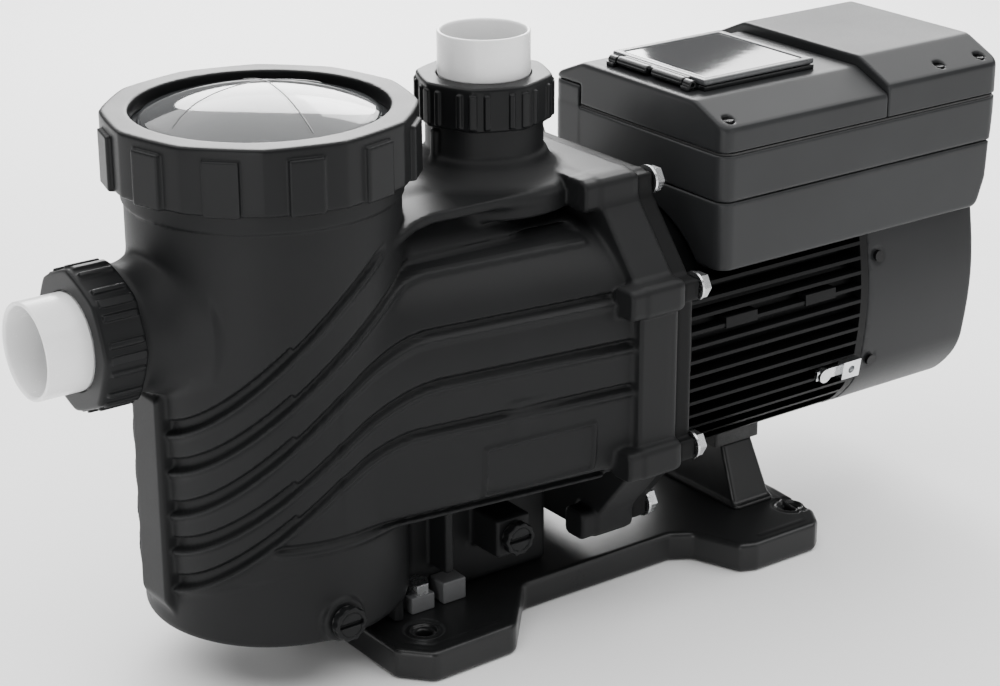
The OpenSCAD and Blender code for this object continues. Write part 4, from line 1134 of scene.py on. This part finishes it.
def motor_section(b, inset):
    """Bowed square below the controller and a round barrel above it, seen along the shaft."""
    below = square(unbowed(b), b.z, 0, SHAFT_Z, MOTOR_HALF - inset, CORNER_R - inset)
    below = common(below, b.z - BOX_Z0 + 0.5, 1.0)
    return join(below, np.hypot(b.y, b.z - SHAFT_Z) - BARREL_R + inset, 1.5)


def bow(y, z):
    """How far the motor's sides draw in at a place, in mm, above and below the shaft."""
    share = np.clip((np.abs(y) - BOW_FROM) / (BOW_FULL - BOW_FROM), 0, 1)
    return BOW_DEPTH * (1 - np.exp(-BOW_RATE * (z - SHAFT_Z) ** 2)) * share * share * (3 - 2 * share)


def unbowed(b):
    """The block's y with the bow taken out, so that a straight section drawn with it comes out bowed."""
    out = inside = np.abs(b.y)
    for _ in range(7):
        out = inside + bow(out, b.z)
    return out


def build_bowed(name, edge):
    """A CAD node redrawn with the motor's bowed sides."""
    source = frame["nodes"][name]
    shape = bmesh.new()
    shape.from_mesh(source.data)
    shape.transform(source.matrix_world)
    low, high = span(name, 2)
    for z in np.arange(low + BOW_CUT, high, BOW_CUT):
        bmesh.ops.bisect_plane(shape, geom=shape.verts[:] + shape.edges[:] + shape.faces[:],
                               plane_co=(0, 0, z * MM), plane_no=(0, 0, 1))
    for vert in shape.verts:
        side = math.copysign(1, vert.co.y)
        vert.co.y -= side * float(bow(vert.co.y / MM, vert.co.z / MM)) * MM
    mesh = bpy.data.meshes.new(name + "_bowed")
    shape.to_mesh(mesh)
    shape.free()
    obj = bpy.data.objects.new(name + "_bowed", mesh)
    bpy.context.scene.collection.objects.link(obj)
    softened(obj, edge)
    put(obj, slot_of[name], "root", name)


def build_cowl():
    """Fan cowl with a rolled rear edge and ringed air slots."""
    m = MOTOR_HALF + 3
    b = Block((COWL_X0 - 2.5, -m, SHAFT_Z - m), (COWL_X1 + 2.5, m, SHAFT_Z + m), 1.35)
    field = crossed(motor_section(b, 0), slab(b.x, COWL_X0 + 0.3, COWL_X1), 3.2)
    field = join(field, crossed(motor_section(b, 0), slab(b.x, COWL_X0 + 0.3, COWL_X0 + 40), 0.6))
    inner = crossed(motor_section(b, COWL_WALL), slab(b.x, COWL_X0 - 20, COWL_X1 - COWL_WALL), 2)
    field = cut(field, inner)
    radius = np.hypot(b.y, b.z - SHAFT_Z)
    angle = np.arctan2(b.z - SHAFT_Z, b.y)
    spoke = radius * np.abs(np.sin(SPOKES / 2 * angle)) / (SPOKES / 2) - 3
    for r in range(24, 75, SLOT_PITCH):
        field = cut(field, overlap(slab(radius, r, r + SLOT_W), COWL_X1 - 6 - b.x, -spoke), 0.6)
    for z in (middle("cowl_screws", 2) - COWL_SCREW_DZ, middle("cowl_screws", 2) + COWL_SCREW_DZ):
        screw = rod(b.x - middle("cowl_screws", 0), b.z - z, 6.2, unbowed(b), MOTOR_HALF - 0.6,
                    MOTOR_HALF + 4)
        field = cut(field, screw, 0.6)
    put(moulded("fan_cowl_shell", b, field, 0.4), "cowl_paint", "root", "fan_cowl")


# ------------------------------------------------------------------ everything else keeps its CAD shape

SOFT_EDGES = {"flange_bolts": 0.5, "foot_bolts": 0.6, "foot_clamps": 1.2,
              "motor_pad": 2.0, "cable_glands": 0.6, "display_bezel": 0.8,
              "cover_screws": 0.4, "display_screen": 0.5, "heat_sink": 0.4,
              "basket_handle": 0.8, "strainer_basket": 0.5, "rear_end_shield": 0.8, "cooling_fan": 0.5,
              "impeller": 0.4, "diffuser": 0.5, "impeller_nut": 0.4, "capacitors": 1.0}
BUTTON_EDGE, PLAIN_EDGE = 0.5, 0.3
slot_of = {part["node"]: part["material_slot"] for part in frame["record"]["subparts"]}


def carry_over():
    """Softens each CAD node that still shows and gives it the material of its record slot."""
    for name, obj in frame["nodes"].items():
        if name in replaced:
            continue
        edge = BUTTON_EDGE if name.startswith("button") else SOFT_EDGES.get(name, PLAIN_EDGE)
        softened(obj, edge)
        obj.data.materials.clear()
        obj.data.materials.append(MATERIALS[slot_of[name]])


build_pump_body()
build_bracket()
build_lock_ring()
build_lid()
build_nuts()
build_tailpieces()
build_plugs()
build_base()
build_pedestal()
build_controller_base()
build_housing()
build_cover("cover_front", "front_cover", BOX_X0, SPLIT_X - 0.4, FRONT_TOP, SIDE_TOP_EDGE, SCREWS[:1])
build_cover("cover_rear", "rear_cover", SPLIT_X, BOX_X1, REAR_TOP, SIDE_TOP_EDGE + 6, SCREWS[1:])
build_flap()
build_cowl()
build_bowed("motor_frame", 0.45)
build_bowed("cowl_screws", 0.5)
build_bowed("ground_lug", 0.6)
carry_over()


# ------------------------------------------------------------------ floor, light and camera

def floor_material():
    """Matt pale floor with barely visible changes of tone."""
    n = Nodes("floor")
    slow = n.noise(2.5, 2.0)
    n.set(Base_Color=n.mix(slow, (0.93, 0.93, 0.93), (0.96, 0.96, 0.96)), Roughness=0.8)
    return n.material


def build_floor():
    """A wide pale disc just below the feet."""
    size, rim = 9000.0, 60
    turn = [2 * math.pi * k / rim for k in range(rim)]
    verts = [(size * math.cos(t), size * math.sin(t), -0.3) for t in turn]
    piece = mesh_object("studio_floor", np.array(verts), [tuple(range(rim))])
    piece.data.materials.append(floor_material())


def lamp(name, place, target, size, power, roll=0.0, shape="RECTANGLE"):
    """Soft light aimed at a point and hidden from the camera; lengths in metres."""
    data = bpy.data.lights.new(name, "AREA")
    data.shape, data.size, data.size_y = shape, size[0], size[1]
    data.energy = power
    light = bpy.data.objects.new(name, data)
    bpy.context.scene.collection.objects.link(light)
    aim = (Vector(target) - Vector(place)).to_track_quat("-Z", "Y").to_matrix().to_4x4()
    light.matrix_world = Matrix.Translation(place) @ aim @ Matrix.Rotation(math.radians(roll), 4, "Z")
    light.visible_camera = False


def build_lights():
    """A broad even light from above, and soft boxes that shape the reflections."""
    lamp("lid_softbox", (0.9, 1.72, 1.15), (-0.228, 0, 0.385), (1.1, 1.3), 42, shape="ELLIPSE")
    lamp("flap_softbox", (1.515, 1.264, 1.157), (0.15, 0.0, 0.35), (1.2, 0.7), 17, 29.8)
    lamp("left_strip", (-1.75, -1.25, 0.45), (-0.1, 0, 0.2), (0.3, 1.1), 10)
    lamp("right_fill", (1.0, -2.3, 0.95), (0.05, 0, 0.2), (1.6, 1.0), 8)
    data = bpy.data.lights.new("ceiling", "SUN")
    data.energy, data.angle = 5.2, math.radians(110)
    ceiling = bpy.data.objects.new("ceiling", data)
    bpy.context.scene.collection.objects.link(ceiling)
    ceiling.rotation_euler = (math.radians(-12), math.radians(8), 0)


def build_world():
    """Even white light from all round."""
    world = bpy.data.worlds.new("studio")
    world.use_nodes = True
    bpy.context.scene.world = world
    background = world.node_tree.nodes["Background"]
    background.inputs["Color"].default_value = (1, 1, 1, 1)
    background.inputs["Strength"].default_value = 0.3


CAMERA_PLACE = (-1.00656, -1.31613, 0.80913)
CAMERA_AZIMUTH, CAMERA_ELEVATION, CAMERA_ROLL = -36.26, 21.29, -0.14
LENS = 90.25


def build_camera():
    """The camera at the photo's place, angle and lens."""
    data = bpy.data.cameras.new("camera")
    data.lens, data.sensor_width, data.clip_end = LENS, 36.0, 50.0
    camera = bpy.data.objects.new("camera", data)
    bpy.context.scene.collection.objects.link(camera)
    a, e = math.radians(CAMERA_AZIMUTH), math.radians(CAMERA_ELEVATION)
    back = Vector((math.sin(a) * math.cos(e), -math.cos(a) * math.cos(e), math.sin(e)))
    right = Vector((math.cos(a), math.sin(a), 0))
    up = back.cross(right)
    turn = Matrix.Rotation(math.radians(CAMERA_ROLL), 3, back)
    basis = Matrix((turn @ right, turn @ up, turn @ back)).transposed()
    camera.matrix_world = Matrix.Translation(CAMERA_PLACE) @ basis.to_4x4()
    bpy.context.scene.camera = camera


build_floor()
build_lights()
build_world()
build_camera()

bpy.context.view_layer.update()
